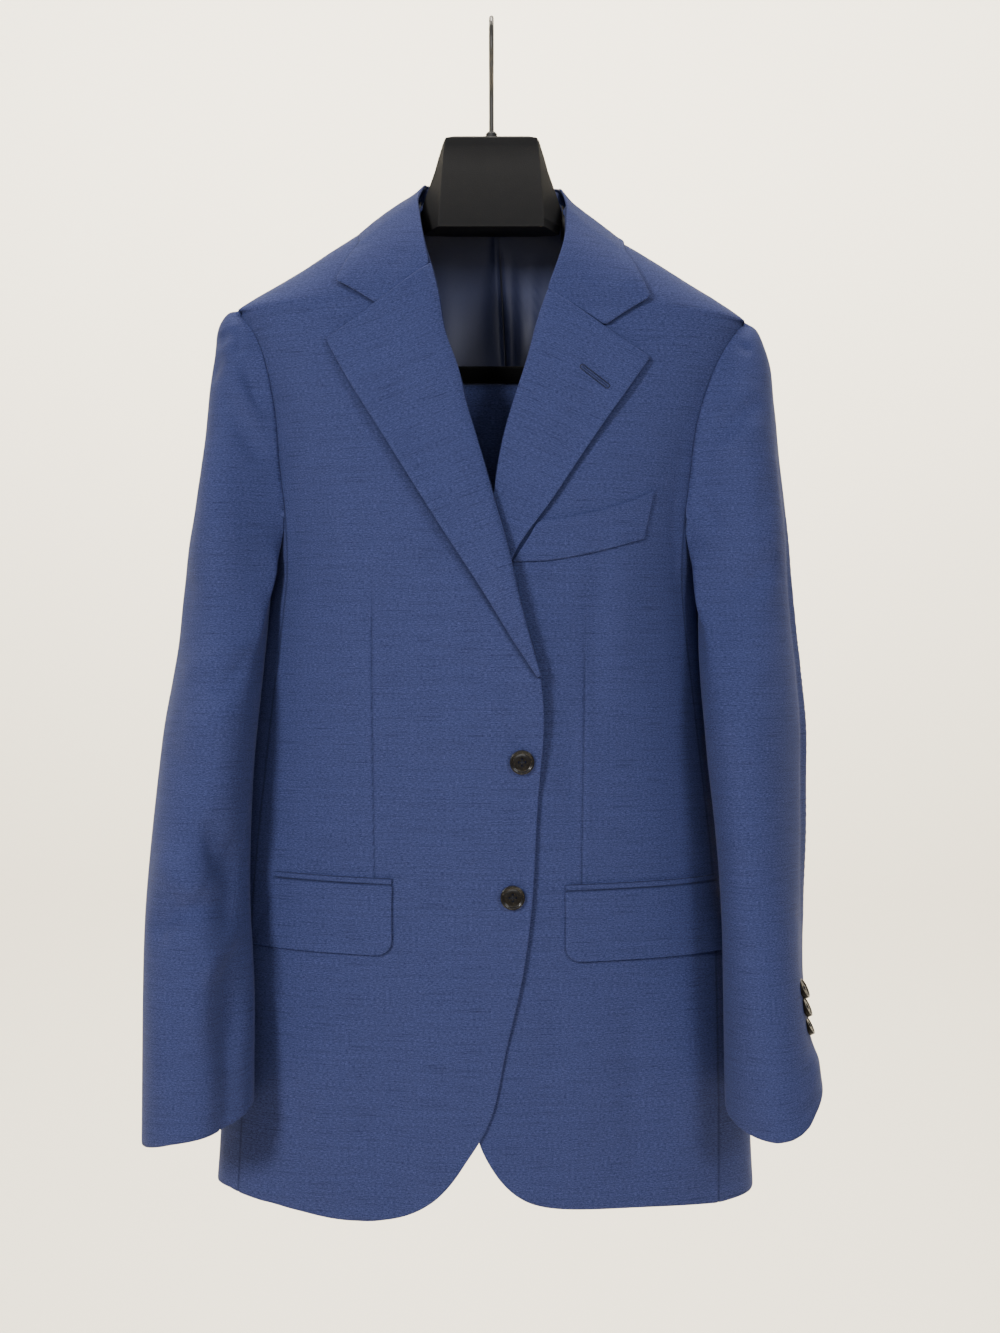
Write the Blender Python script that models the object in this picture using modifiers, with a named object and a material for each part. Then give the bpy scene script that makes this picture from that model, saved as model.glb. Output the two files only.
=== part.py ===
"""Two-piece suit on its hanger: a two-button jacket over trousers that are folded on the hanger's bar.

Run with: blender --background --python part.py

Frame: +Z up, +X to the right of someone who faces the jacket, -Y towards them. The origin is the inside
top of the hanger's hook, where it hangs. "left" and "right" in names are the wearer's, so the wearer's
right is at -X. Tables are in millimetres; meshes are in metres.

Every cloth piece is a wall over a form: a function of two parameters that gives a point of the garment.
A piece is a grid of such parameters, and its wall is the form's points moved along the form's normal, so
pieces that meet at a seam have parallel edges and what lies on a panel follows that panel.
"""
import math

import bmesh
import bpy
import numpy as np
from mathutils import Matrix, Vector

MM = 0.001

# ---- driving sizes, mm ----
CLOTH = 2.0            # wall of a jacket panel: wool, canvas and lining
SEAM = 0.3             # gap between two pieces at a seam
SLEEVE_SEAM = 0.7      # the same where the seam runs at a slant round the sleeve
LIE = 0.4              # gap between a piece and the panel it lies on
LAPEL_WALL = 2.2       # lapel and collar: two layers of cloth
POCKET_WALL = 1.6      # flap, jet and welt
LINING_WALL = 1.0
LINING_GAP = 1.6       # between the back and its lining, and under the collar's fall
TROUSER_WALL = 1.5
LEAN = 0.0236          # the garment hangs lower on its left: drop for each mm of X
TIP_Z = -229.5         # shoulder tip
NECK_Z = -150.0        # neck seam, at the side of the neck
NOTCH_Z = -385.0       # where the side panel's seams meet the armhole
UNDERARM_Z = -420.0
FRONT_BUTTON = 18.0    # diameter
CUFF_BUTTON = 15.0
BUTTON_HEIGHT = 3.6
HOOK_WIRE = 3.8        # diameter
HOOK_RADIUS = 20.0     # inside radius of the bow
OVERLAP_LIFT = 3.0     # the right front stands this much off the left front that it covers


# ---- tables and curves ----
def column(rows, key, value, at):
    """Smooth value of a table's column at a key: cubic through the rows, flat past its ends."""
    keys = [row[key] for row in rows]
    values = [row[value] for row in rows]
    if keys[0] > keys[-1]:
        keys.reverse()
        values.reverse()
    at = min(max(at, keys[0]), keys[-1])
    i = min(max(int(np.searchsorted(keys, at)) - 1, 0), len(keys) - 2)

    def slope(j):
        if j == 0 or j == len(keys) - 1:
            near = 1 if j == 0 else j
            return (values[near] - values[near - 1]) / (keys[near] - keys[near - 1])
        before = (values[j] - values[j - 1]) / (keys[j] - keys[j - 1])
        after = (values[j + 1] - values[j]) / (keys[j + 1] - keys[j])
        return 0.0 if before * after <= 0 else 2 * before * after / (before + after)

    span = keys[i + 1] - keys[i]
    t = (at - keys[i]) / span
    return (values[i] * (1 + 2 * t) * (1 - t) ** 2 + slope(i) * span * t * (1 - t) ** 2
            + values[i + 1] * t * t * (3 - 2 * t) + slope(i + 1) * span * t * t * (t - 1))


def table(names, *rows):
    """Rows of numbers with named columns."""
    return [dict(zip(names.split(), row)) for row in rows]


def ease(low, high, at):
    """0 at low, 1 at high, smooth between; low may be the larger."""
    t = min(max((at - low) / (high - low), 0.0), 1.0)
    return t * t * (3 - 2 * t)


def spread(first, last, count):
    return [first + (last - first) * i / (count - 1) for i in range(count)]


# ---- the jacket's body: level sections, rounded towards the sides ----
# z level; half: half width; mid: middle; front, back: depth each way; round: exponent, 2 is an ellipse
BODY = table("z half mid front back round",
             (-112, 40, 1, 30, 32, 2.0),
             (-126, 47, 1, 33, 35, 2.0),
             (-140, 58, 1, 36, 38, 2.1),
             (-150, 73, 1, 40, 41, 2.2),
             (-165, 95, 0, 47, 46, 2.3),
             (-195, 142, 0, 60, 54, 2.5),
             (-210, 166, 0, 65, 56, 2.55),
             (-223, 187, 0, 69, 58, 2.6),
             (-229.5, 197.5, 0, 70, 58, 2.6),
             (-245, 196, 0, 73, 59, 2.6),
             (-268, 188, 0, 77, 60, 2.7),
             (-300, 178, 0, 81, 61, 2.8),
             (-350, 168, -2, 86, 61, 2.8),
             (-385, 165, -3, 89, 60, 2.6),
             (-420, 164.5, -4, 91, 59, 2.4),
             (-470, 167, -6, 93, 57, 2.25),
             (-530, 172.5, -7, 93, 55, 2.25),
             (-580, 177, -7, 92, 54, 2.25),
             (-640, 183, -6, 91, 54, 2.25),
             (-680, 187, -5, 89, 55, 2.25),
             (-800, 202, -4, 86, 57, 2.2),
             (-920, 210, -5, 83, 58, 2.2))

# the armholes and the seams of the side panels, as X at each level: right and left front, right and left back
ARMHOLE = table("z right_front left_front right_back left_back",
                (-229.5, 197.4, 197.4, 197.4, 197.4),
                (-236, 192.5, 192.5, 194.0, 194.0),
                (-245, 186.5, 186.5, 190.0, 190.0),
                (-256, 180.0, 179.5, 185.0, 185.0),
                (-270, 174.0, 171.5, 179.0, 179.0),
                (-290, 168.5, 163.5, 172.0, 172.0),
                (-320, 163.5, 155.0, 165.5, 165.5),
                (-352, 161.0, 151.0, 160.5, 158.0),
                (-385, 157.0, 147.0, 156.0, 151.0),
                (-420, 155.0, 145.0, 154.0, 148.0),
                (-470, 157.0, 147.0, 156.0, 147.0),
                (-530, 163.0, 153.0, 162.0, 152.0),
                (-600, 170.0, 161.0, 169.0, 160.0),
                (-680, 178.0, 169.5, 176.0, 168.0),
                (-800, 187.0, 171.5, 183.0, 178.0),
                (-920, 193.5, 172.0, 190.0, 188.0))

# the fronts' inner edges: the lapel's roll line down to the break, then the closing edge, as X
RIGHT_EDGE = table("z x",
                   (-150, -56), (-168, -53.5), (-195, -47.5), (-220, -40.5), (-261, -33.0), (-281, -25.0),
                   (-309, -18.5), (-331, -12.0), (-352, -6.0), (-379, 1.5), (-404, 9.0), (-433, 16.0),
                   (-456, 21.0), (-488, 29.5), (-512, 36.0), (-530, 38.0), (-552, 38.0), (-586, 35.5),
                   (-632, 32.5), (-671, 30.4), (-707, 27.4), (-741, 21.5), (-789, 10.4), (-826, 3.0),
                   (-846, -4.6), (-856, -9.7), (-871, -19.9))
LEFT_EDGE = table("z x",
                  (-150, 57), (-172, 56.5), (-188, 53.5), (-208, 48.5), (-224, 42.5), (-244, 35.5),
                  (-262, 30.5), (-286, 24.5), (-302, 18.5), (-331, 10.5), (-352, 6.0), (-400, 0.0),
                  (-450, -2.0), (-500, 1.0), (-530, 4.0), (-600, 4.0), (-680, -1.0), (-750, -6.5),
                  (-810, -11.0), (-840, -11.0), (-856, -9.0), (-871, -2.4))

# the hems, as Z at each X, from the cutaway's corner to the side and round the back
RIGHT_HEM = table("x z",
                  (-205, -902), (-165, -904), (-143, -908), (-122, -912), (-106, -914), (-86, -914),
                  (-70, -911.5), (-58, -906.5), (-46, -899), (-32, -886), (-19.9, -871))
LEFT_HEM = table("x z",
                 (-2.4, -871), (7, -884.5), (18.5, -894.5), (31, -901.5), (44, -905), (61, -906),
                 (120, -907), (160, -909), (205, -911))
BACK_HEM_SIDE, BACK_HEM_MIDDLE = -903.0, -889.0

BODY_LEVELS = [-150, -156, -165, -178, -195, -212, -229.5, -236, -245, -256, -270, -290, -320, -352, -385,
               -402, -420, -445, -472, -500, -540, -580, -630, -680, -740, -800, -850, -885, -906]
HEM_FROM = -740.0      # the levels bend towards the hem below this one
FADE_LOW = -620.0      # the lean fades out down to this level


def lean(x, z):
    return z - x * LEAN * ease(FADE_LOW, TIP_Z, z)


def body(turn, z):
    """Point of the body at a level. turn: degrees from the middle of the front, + to +X, 180 at the back."""
    half, mid, power = (column(BODY, "z", name, z) for name in ("half", "mid", "round"))
    across, along = math.sin(math.radians(turn)), math.cos(math.radians(turn))
    depth = column(BODY, "z", "front" if along > 0 else "back", z)
    x = mid + half * math.copysign(abs(across) ** (2 / power), across)
    y = -depth * math.copysign(abs(along) ** (2 / power), along)
    return Vector((x, y, lean(x, z)))


def turn_at(x, z, back=False):
    """The turn at which the body has this X, at a level."""
    half, mid, power = (column(BODY, "z", name, z) for name in ("half", "mid", "round"))
    share = min(max((x - mid) / half, -1.0), 1.0)
    turn = math.degrees(math.asin(abs(share) ** (power / 2)))
    turn = 180 - turn if back else turn
    return math.copysign(turn, share)


def level_of(x, z):
    """The level whose leaned height at X is z."""
    level = z
    for _ in range(4):
        level += z - lean(x, level)
    return level


def at_front(x, z):
    """Parameters of the body's front point that is seen at X, Z."""
    level = level_of(x, z)
    return turn_at(x, level), level


# ---- walls ----
def normal_of(form, u, v, du, dv):
    """The form's unit normal, from its differences; du and dv are small steps of its parameters."""
    along = form(u + du, v) - form(u - du, v)
    down = form(u, v + dv) - form(u, v - dv)
    return along.cross(down).normalized()


def nudged(form, u, v, du, gap):
    """u moved so that the form's point moves by gap, in the sense of du."""
    step = (form(u + du, v) - form(u - du, v)).length / 2
    return u + du * gap / max(step, 1e-6)


def wall(name, form, grid, lift, thick, material, flip=False, du=0.5, dv=0.5):
    """Closed wall over a grid of parameters (rows of (u, v)): lift mm off the form, thick mm thick.

    lift is a number or a function of (row share, column share). A negative lift lies inside the form."""
    rows, columns = len(grid), len(grid[0])
    sign = -1.0 if flip else 1.0
    mesh = bmesh.new()
    sheets = []
    for depth in (thick, 0.0):
        sheet = []
        for i, row in enumerate(grid):
            line = []
            for j, (u, v) in enumerate(row):
                off = lift(i / (rows - 1), j / (columns - 1)) if callable(lift) else lift
                point = form(u, v) + sign * normal_of(form, u, v, du, dv) * (off + depth)
                line.append(mesh.verts.new(point * MM))
            sheet.append(line)
        sheets.append(sheet)
    outer, inner = sheets
    for i in range(rows - 1):
        for j in range(columns - 1):
            mesh.faces.new((outer[i][j], outer[i + 1][j], outer[i + 1][j + 1], outer[i][j + 1]))
            mesh.faces.new((inner[i][j], inner[i][j + 1], inner[i + 1][j + 1], inner[i + 1][j]))
    rim = ([(i, 0) for i in range(rows - 1)] + [(rows - 1, j) for j in range(columns - 1)]
           + [(i, columns - 1) for i in range(rows - 1, 0, -1)] + [(0, j) for j in range(columns - 1, 0, -1)])
    for (i, j), (k, l) in zip(rim, rim[1:] + rim[:1]):
        mesh.faces.new((outer[k][l], outer[i][j], inner[i][j], inner[k][l]))
    bmesh.ops.recalc_face_normals(mesh, faces=mesh.faces)
    return finish(name, mesh, material)


def loft(name, rings, material, open_ends=None):
    """Closed solid through rings of points. open_ends: inner rings, which make it an open tube's wall."""
    mesh = bmesh.new()

    def skin(loops):
        lines = [[mesh.verts.new(Vector(p) * MM) for p in loop] for loop in loops]
        for a, b in zip(lines, lines[1:]):
            for j in range(len(a)):
                k = (j + 1) % len(a)
                mesh.faces.new((a[j], a[k], b[k], b[j]))
        return lines

    outer = skin(rings)
    if open_ends is None:
        mesh.faces.new(outer[0])
        mesh.faces.new(outer[-1])
    else:
        inner = skin(open_ends)
        for a, b in ((outer[0], inner[0]), (outer[-1], inner[-1])):
            for j in range(len(a)):
                k = (j + 1) % len(a)
                mesh.faces.new((a[j], a[k], b[k], b[j]))
    bmesh.ops.recalc_face_normals(mesh, faces=mesh.faces)
    return finish(name, mesh, material)


def finish(name, mesh, material):
    """Object of a bmesh, in the suit's collection, smooth up to 35 degrees."""
    data = bpy.data.meshes.new(name)
    mesh.to_mesh(data)
    mesh.free()
    data.materials.append(material)
    data.shade_smooth()
    data.set_sharp_from_angle(angle=math.radians(35))
    made = bpy.data.objects.new(name, data)
    suit.objects.link(made)
    return made


def finish_of_material(name, colour, roughness, metallic=0.0):
    material = bpy.data.materials.new(name)
    material.use_nodes = True
    shader = material.node_tree.nodes["Principled BSDF"]
    shader.inputs["Base Color"].default_value = (*colour, 1.0)
    shader.inputs["Roughness"].default_value = roughness
    shader.inputs["Metallic"].default_value = metallic
    material.diffuse_color = (*colour, 1.0)
    return material


# ---- the suit's collection and materials ----
for old in list(bpy.data.objects):
    bpy.data.objects.remove(old, do_unlink=True)
suit = bpy.data.collections.new("two_piece_suit")
bpy.context.scene.collection.children.link(suit)

WOOL = finish_of_material("blue_wool", (0.075, 0.115, 0.27), 0.85)
SATIN = finish_of_material("navy_satin", (0.02, 0.025, 0.06), 0.35)
HORN = finish_of_material("brown_horn", (0.03, 0.015, 0.01), 0.25)
PLASTIC = finish_of_material("black_plastic", (0.012, 0.012, 0.013), 0.55)
FLOCK = finish_of_material("black_flock", (0.006, 0.006, 0.006), 0.95)
WIRE = finish_of_material("steel_wire", (0.35, 0.34, 0.33), 0.3, 1.0)


# ---- jacket body: fronts, side panels, backs ----
def over(turn, z):
    """The body under the right front, which stands off where it lies on the left front and its lapel."""
    point = body(turn, z)
    share = ease(-52, -6, point.x) * ease(-318, -366, z)
    lapel_below = ease(-600, -530, z)
    point.y -= share * (OVERLAP_LIFT + (LAPEL_WALL + LIE) * lapel_below)
    return point


def back_hem(turn):
    """Height of the back's hem, which rises towards its middle."""
    return BACK_HEM_SIDE + (BACK_HEM_MIDDLE - BACK_HEM_SIDE) * ease(112, 178, abs(turn))


def bent(level, hem):
    """A level bent down or up to the hem's height."""
    last = BODY_LEVELS[-1]
    return level + (hem - last) * ease(HEM_FROM, last, level)


def front(name, form, edge, armhole, hem, side):
    """A front: from its roll line and closing edge to the armhole and the side panel's seam."""
    grid = []
    corner = hem[-1]["z"] if side < 0 else hem[0]["z"]
    for level in BODY_LEVELS:
        inner = turn_at(column(edge, "z", "x", bent(level, corner)), level)
        seam_x = side * column(ARMHOLE, "z", armhole, level)
        outer = side * 90.0 if level > TIP_Z - 0.1 else turn_at(seam_x, level)
        outer = nudged(form, outer, level, -side, SEAM / 2)
        row = []
        for share in (0.0, 0.05, 0.14, 0.28, 0.44, 0.6, 0.75, 0.88, 1.0):
            turn = inner + (outer - inner) * share
            x = body(turn, level).x
            row.append((turn, bent(level, column(hem, "x", "z", x))))
        grid.append(row)
    return wall(name, form, grid, -CLOTH, CLOTH, WOOL)


front("front_right", over, RIGHT_EDGE, "right_front", RIGHT_HEM, -1)
front("front_left", body, LEFT_EDGE, "left_front", LEFT_HEM, 1)


def back_turn(side, level):
    name = "right_back" if side < 0 else "left_back"
    if level > TIP_Z - 0.1:
        return side * 90.0
    return turn_at(side * column(ARMHOLE, "z", name, level), level, back=True)


def scoop(share):
    """How far the side panel's top and the undersleeve's dip below the notches, across their width."""
    return (UNDERARM_Z - NOTCH_Z) * math.sin(math.pi * share) ** 0.8


for side, word, hem in ((-1, "right", RIGHT_HEM), (1, "left", LEFT_HEM)):
    grid = []
    for level in BODY_LEVELS:
        if level > NOTCH_Z + 0.1:
            continue
        fore_x = side * column(ARMHOLE, "z", word + "_front", level)
        start = nudged(body, turn_at(fore_x, level), level, side, SEAM / 2)
        end = nudged(body, back_turn(side, level), level, -side, SEAM / 2)
        row = []
        for i in range(6):
            share = i / 5
            turn = start + (end - start) * share
            x = body(turn, level).x
            z = level + scoop(share) * ease(-500, NOTCH_Z, level)
            hem_z = column(hem, "x", "z", x) * (1 - share) + BACK_HEM_SIDE * share
            row.append((turn, z + (hem_z - BODY_LEVELS[-1]) * ease(HEM_FROM, BODY_LEVELS[-1], level)))
        grid.append(row)
    wall("side_" + word, body, grid, -CLOTH, CLOTH, WOOL)

    grid = []
    for level in BODY_LEVELS:
        start = nudged(body, back_turn(side, level), level, side, SEAM / 2)
        end = nudged(body, side * 180.0, level, -side, SEAM / 2)
        row = []
        for share in (0.0, 0.12, 0.26, 0.42, 0.6, 0.8, 1.0):
            turn = start + (end - start) * share
            row.append((turn, bent(level, back_hem(turn))))
        grid.append(row)
    wall("back_" + word, body, grid, -CLOTH, CLOTH, WOOL)


# ---- sleeves ----
# outer, inner: X of the sleeve's edges in the front view; y: middle; deep: half depth; turn: the section's
# rotation, + brings its front towards the body
SLEEVE = {-1: table("z outer inner y deep turn",
                    (-420, 233.0, 166.0, -12, 62, 12), (-484, 243.0, 169.5, -28, 62, 20),
                    (-530, 248.5, 173.8, -38, 62, 18), (-584, 253.0, 178.5, -48, 60, 14),
                    (-640, 256.0, 180.4, -58, 57, 9), (-683, 257.5, 180.0, -66, 55, 5),
                    (-720, 257.5, 177.5, -72, 52, 0), (-768, 256.8, 175.5, -79, 48, -6),
                    (-860, 256.5, 175.5, -84, 46, -12)),
          1: table("z outer inner y deep turn",
                   (-420, 229.5, 160.5, -12, 64, 16), (-484, 237.0, 155.5, -34, 64, 22),
                   (-530, 240.0, 158.0, -42, 64, 22), (-584, 240.0, 162.5, -48, 62, 21),
                   (-637, 238.5, 167.6, -56, 58, 20), (-683, 235.6, 170.3, -62, 56, 18),
                   (-714, 233.8, 171.3, -67, 54, 15), (-768, 235.5, 172.5, -74, 50, 8),
                   (-800, 241.0, 173.0, -77, 49, 2), (-860, 248.0, 174.5, -80, 48, -6))}
# the sleeve head: X of its outermost line, on the wearer's right and left; full: how far it swells past
# the armhole
CAP = table("z right left full",
            (-229.5, 198.6, 198.6, 0.25), (-232, 204.0, 204.0, 0.25), (-236, 209.5, 208.5, 0.25),
            (-245, 213.5, 212.0, 0.25), (-256, 214.5, 215.0, 0.28), (-270, 215.8, 217.5, 0.35),
            (-290, 218.5, 219.0, 0.5), (-320, 221.0, 221.0, 0.8), (-352, 224.0, 223.5, 1.1),
            (-385, 227.5, 226.0, 1.4), (-420, 233.0, 229.0, 1.6), (-484, 243.0, 237.0, 1.6))
# the sleeve's two seams, in degrees round the section: 0 front, 90 outside, 180 back, 270 inside
SLEEVE_SEAMS = {-1: table("z fore hind", (-385, 0, 180), (-440, -22, 176), (-480, -42, 200), (-520, -54, 205),
                          (-560, -60, 202), (-680, -56, 184), (-860, -50, 182)),
                1: table("z fore hind", (-385, 0, 180), (-440, -20, 176), (-480, -42, 198), (-520, -60, 194),
                         (-560, -80, 180), (-600, -94, 161), (-640, -104, 137), (-680, -108, 111),
                         (-720, -108, 91), (-760, -108, 80), (-860, -108, 90))}
CUFF_Z = {-1: -844.0, 1: -831.0}
SLEEVE_LEVELS = [-229.5, -232, -236, -245, -256, -270, -290, -320, -352, -385, -402, -420, -445, -472, -500,
                 -540, -580, -630, -680, -720, -760, -800, -817]
CUFF_TILT = {-1: (0.2, 0.02), 1: (0.0, 0.3)}     # the cuff's drop outwards and forwards
ARMHOLE_FORM_LOW, HANGING_FORM_TOP = -395.0, -545.0     # the sleeve changes from one form to the other here
ARMHOLE_GAP = 0.6      # between the body and the sleeve that lies beside it, under the arm


def sleeve_form(side):
    """Form of a sleeve: degrees round it and level."""
    names = ("right_front", "right_back") if side < 0 else ("left_front", "left_back")

    def at_armhole(angle, z):
        start = turn_at(side * column(ARMHOLE, "z", names[0], z), z)
        end = turn_at(side * column(ARMHOLE, "z", names[1], z), z, back=True)
        angle %= 360
        if angle <= 180:
            first, last = (edge_point(turn, z) for turn in (start, end))
            middle = (first + last) / 2
            bulge = side * column(CAP, "z", names[0].split("_")[0], z) - middle.x
            swing = math.radians(angle)
            full = column(CAP, "z", "full", z)
            point = middle + (first - middle) * math.cos(swing) * (1 + full * math.sin(swing))
            point.x = middle.x + (first.x - middle.x) * math.cos(swing) + bulge * math.sin(swing) ** 0.8
            return point
        return edge_point(end + (start - end) * (angle - 180) / 180, z)

    def edge_point(turn, z):
        outward = normal_of(body, turn, z, 0.5, 0.5)
        outward.z = 0
        gap = ARMHOLE_GAP * ease(-345, NOTCH_Z, z)
        return body(turn, z) + outward.normalized() * gap + Vector((side * SEAM, 0, 0))

    def hanging(angle, z):
        outer, inner, y, deep, turn = (column(SLEEVE[side], "z", name, z)
                                       for name in ("outer", "inner", "y", "deep", "turn"))
        sway, half = math.radians(turn), (outer - inner) / 2
        thin = math.sqrt(half ** 2 - (deep * math.sin(sway)) ** 2) / math.cos(sway)
        swing = math.radians(angle)
        out, along = thin * math.sin(swing), -deep * math.cos(swing)
        outward = out * math.cos(sway) + along * math.sin(sway)
        forward = along * math.cos(sway) - out * math.sin(sway)
        low = ease(-740, CUFF_Z[side], z)
        drop = low * (CUFF_TILT[side][0] * -outward + CUFF_TILT[side][1] * forward)
        x = side * ((outer + inner) / 2 + outward)
        return Vector((x, y + forward, lean(x, z) + drop))

    def form(angle, z):
        share = ease(ARMHOLE_FORM_LOW, HANGING_FORM_TOP, z)
        if share == 0:
            return at_armhole(angle, z)
        if share == 1:
            return hanging(angle, z)
        return at_armhole(angle, z).lerp(hanging(angle, z), share)

    return form


sleeve_forms = {side: sleeve_form(side) for side in (-1, 1)}
for side, word in ((-1, "right"), (1, "left")):
    form = sleeve_forms[side]
    levels = SLEEVE_LEVELS + [CUFF_Z[side]]
    grid = []
    for level in levels:
        first = nudged(form, column(SLEEVE_SEAMS[side], "z", "fore", level), level, 1, SLEEVE_SEAM / 2)
        last = nudged(form, column(SLEEVE_SEAMS[side], "z", "hind", level), level, -1, SLEEVE_SEAM / 2)
        grid.append([(angle, level) for angle in spread(first, last, 13)])
    wall("topsleeve_" + word, form, grid, -CLOTH, CLOTH, WOOL, flip=side < 0, du=1, dv=1)
    grid = []
    for level in levels:
        if level > NOTCH_Z + 0.1:
            continue
        first = nudged(form, column(SLEEVE_SEAMS[side], "z", "hind", level), level, 1, SLEEVE_SEAM / 2)
        last = nudged(form, column(SLEEVE_SEAMS[side], "z", "fore", level) + 360, level, -1, SLEEVE_SEAM / 2)
        row = []
        for i in range(8):
            share = i / 7
            dip = (scoop(share) - 0.5 * math.sin(math.pi * share)) * ease(-500, NOTCH_Z, level)
            row.append((first + (last - first) * share, level + dip))
        grid.append(row)
    wall("undersleeve_" + word, form, grid, -CLOTH, CLOTH, WOOL, flip=side < 0, du=1, dv=1)


# ---- lapels ----
# roll: Z of a point on the roll line; x, z: the point of the outer edge that lies across from it
LAPEL = {-1: table("roll x z",
                   (-205, -120.6, -261), (-250, -106.7, -286.5), (-300, -85.3, -321.5), (-350, -60.0, -363),
                   (-400, -31.3, -409), (-440, -7.0, -447.5), (-470, 9.5, -475), (-492, 20.8, -493.5),
                   (-511, 32.5, -511.5)),
         1: table("roll x z",
                  (-225, 115.9, -275), (-262, 101.0, -297), (-302, 83.0, -323), (-340, 60.0, -358),
                  (-375, 36.0, -394), (-405, 15.5, -424), (-440, 9.0, -450), (-480, 7.0, -483),
                  (-511, 6.0, -512))}
ROLL_PUFF = 3.0        # how far the lapel stands up beside its roll
LAPEL_ROWS = 13
LAPEL_LIE = 0.6


def lapel(name, form, edge, side):
    rows = LAPEL[side]
    first, last = rows[0]["roll"], rows[-1]["roll"]
    grid = []
    for i in range(LAPEL_ROWS):
        roll = first + (last - first) * i / (LAPEL_ROWS - 1)
        inner = Vector((column(edge, "z", "x", roll), roll))
        outer = Vector((column(rows, "roll", "x", roll), column(rows, "roll", "z", roll)))
        row = []
        for share in (0.0, 0.06, 0.15, 0.3, 0.45, 0.6, 0.8, 1.0):
            x, z = inner.lerp(outer, share)
            row.append(at_front(x, z))
        grid.append(row)

    def lift(down, across):
        puff = ROLL_PUFF * math.sin(math.pi * across ** 0.7) * (1 - 0.5 * down)
        return LAPEL_LIE + puff * (1 if side < 0 else ease(0.5, 0.3, down))

    return wall(name, form, grid, lift, LAPEL_WALL, WOOL)


lapel("lapel_right", over, RIGHT_EDGE, -1)
lapel("lapel_left", body, LEFT_EDGE, 1)

# ---- collar: the fall outside, the stand inside it ----
# station: 0 at the back of the neck, 7 at the gorge. The first rows hold turns from the front, the last
# rows hold X; fold_z and edge_z are the heights of the fold line and of the fall's lower edge
COLLAR_BACK = table("station fold fold_z edge edge_z",
                    (0, 180, -121, 180, -166), (1, 158, -122, 162, -166), (2, 132, -125, 142, -165),
                    (3, 105, -129, 117, -164), (4, 84, -132, 93, -165))
COLLAR_FRONT = {-1: table("station fold fold_z edge edge_z",
                          (4, -52, -135, -94, -167), (5, -55.5, -148, -99, -179), (6, -53.2, -170, -107, -196),
                          (7, -47.2, -203.6, -114, -216)),
                1: table("station fold fold_z edge edge_z",
                         (4, 54, -137, 96, -170), (5, 57.0, -152, 100, -184), (6, 56.3, -177, 108, -205),
                         (7, 43.0, -223.4, 116.6, -229))}
NOTCH = {-1: (5.5, -22.0), 1: (-5.5, -22.5)}      # how far the collar's end bends to the notch, in X and Z
NOTCH_SHARE = 0.64                                # where the notch lies across the collar's end
COLLAR_STEPS = 14                                 # stations of each half
COLLAR_LIE = 0.6


def collar_point(side, station, share):
    """Parameters of the collar's form: share 0 at the fold, 1 at the fall's edge."""
    if station <= 4:
        fold, fold_z, edge, edge_z = (column(COLLAR_BACK, "station", name, station)
                                      for name in ("fold", "fold_z", "edge", "edge_z"))
        return side * (fold + (edge - fold) * share), fold_z + (edge_z - fold_z) * share
    rows = COLLAR_FRONT[side]
    fold, fold_z, edge, edge_z = (column(rows, "station", name, station)
                                  for name in ("fold", "fold_z", "edge", "edge_z"))
    bend = ease(5.6, 7, station) * max(0.0, min(share / NOTCH_SHARE, (1 - share) / (1 - NOTCH_SHARE)))
    front_point = at_front(fold + (edge - fold) * share + NOTCH[side][0] * bend,
                           fold_z + (edge_z - fold_z) * share + NOTCH[side][1] * bend)
    back_point = collar_point(side, 4, share)
    merge = ease(4, 4.9, station)
    return tuple(b + (f - b) * merge for b, f in zip(back_point, front_point))


stations = [7 * i / COLLAR_STEPS for i in range(COLLAR_STEPS, -1, -1)]
grid = []
for station in stations:
    grid.append([collar_point(-1, station, share) for share in (0, 0.2, 0.42, NOTCH_SHARE, 0.82, 1)])
for station in reversed(stations[:-1]):
    row = [collar_point(1, station, share) for share in (0, 0.2, 0.42, NOTCH_SHARE, 0.82, 1)]
    grid.append([(turn if turn < 0 else turn - 360, z) for turn, z in row])


def collar_lift(along, across):
    """The fall's fold lies on the stand at the back of the neck; the rest stands off a little more."""
    return COLLAR_LIE + (LINING_GAP - COLLAR_LIE) * max(ease(0.1, 0.5, across), ease(0.05, 0.2, abs(along - 0.5)))


wall("collar", body, grid, collar_lift, LAPEL_WALL, WOOL)

grid = []
for turn in spread(54, 306, 25):
    off = min(turn, 360 - turn)
    top = column(table("turn z", (54, -148.2), (70, -139), (84, -133), (105, -130), (132, -126), (158, -123),
                       (180, -122)), "turn", "z", off)
    grid.append([(turn, z) for z in spread(NECK_Z + SEAM, top - 0.2, 4)])
wall("collar_stand", body, grid, -CLOTH, CLOTH, WOOL)

# ---- pockets ----
# x, z: the flap's upper front corner; end: turn of its back end; slope: drop of its top for each mm of X
FLAP = {-1: dict(x=-74.0, z=-666.0, end=-82.0, slope=-0.026), 1: dict(x=56.0, z=-670.5, end=78.0, slope=0.02)}
FLAP_DEEP = 52.0
JET_HIGH = 5.0
CORNER = 11.0          # radius of the flap's lower corners


def pocket_row(side, depth, inset, form):
    """Parameters along a line of the pocket, at a depth under the flap's top edge."""
    pocket = FLAP[side]
    x = pocket["x"] + side * inset
    start = at_front(x, pocket["z"] - depth)[0]
    end = nudged(form, pocket["end"], pocket["z"], -side, inset)
    row = []
    for share in spread(0, 1, 9):
        turn = start + (end - start) * share
        x = body(turn, pocket["z"]).x
        row.append((turn, level_of(x, pocket["z"] + pocket["slope"] * (x - pocket["x"]) - depth)))
    return row


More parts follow.
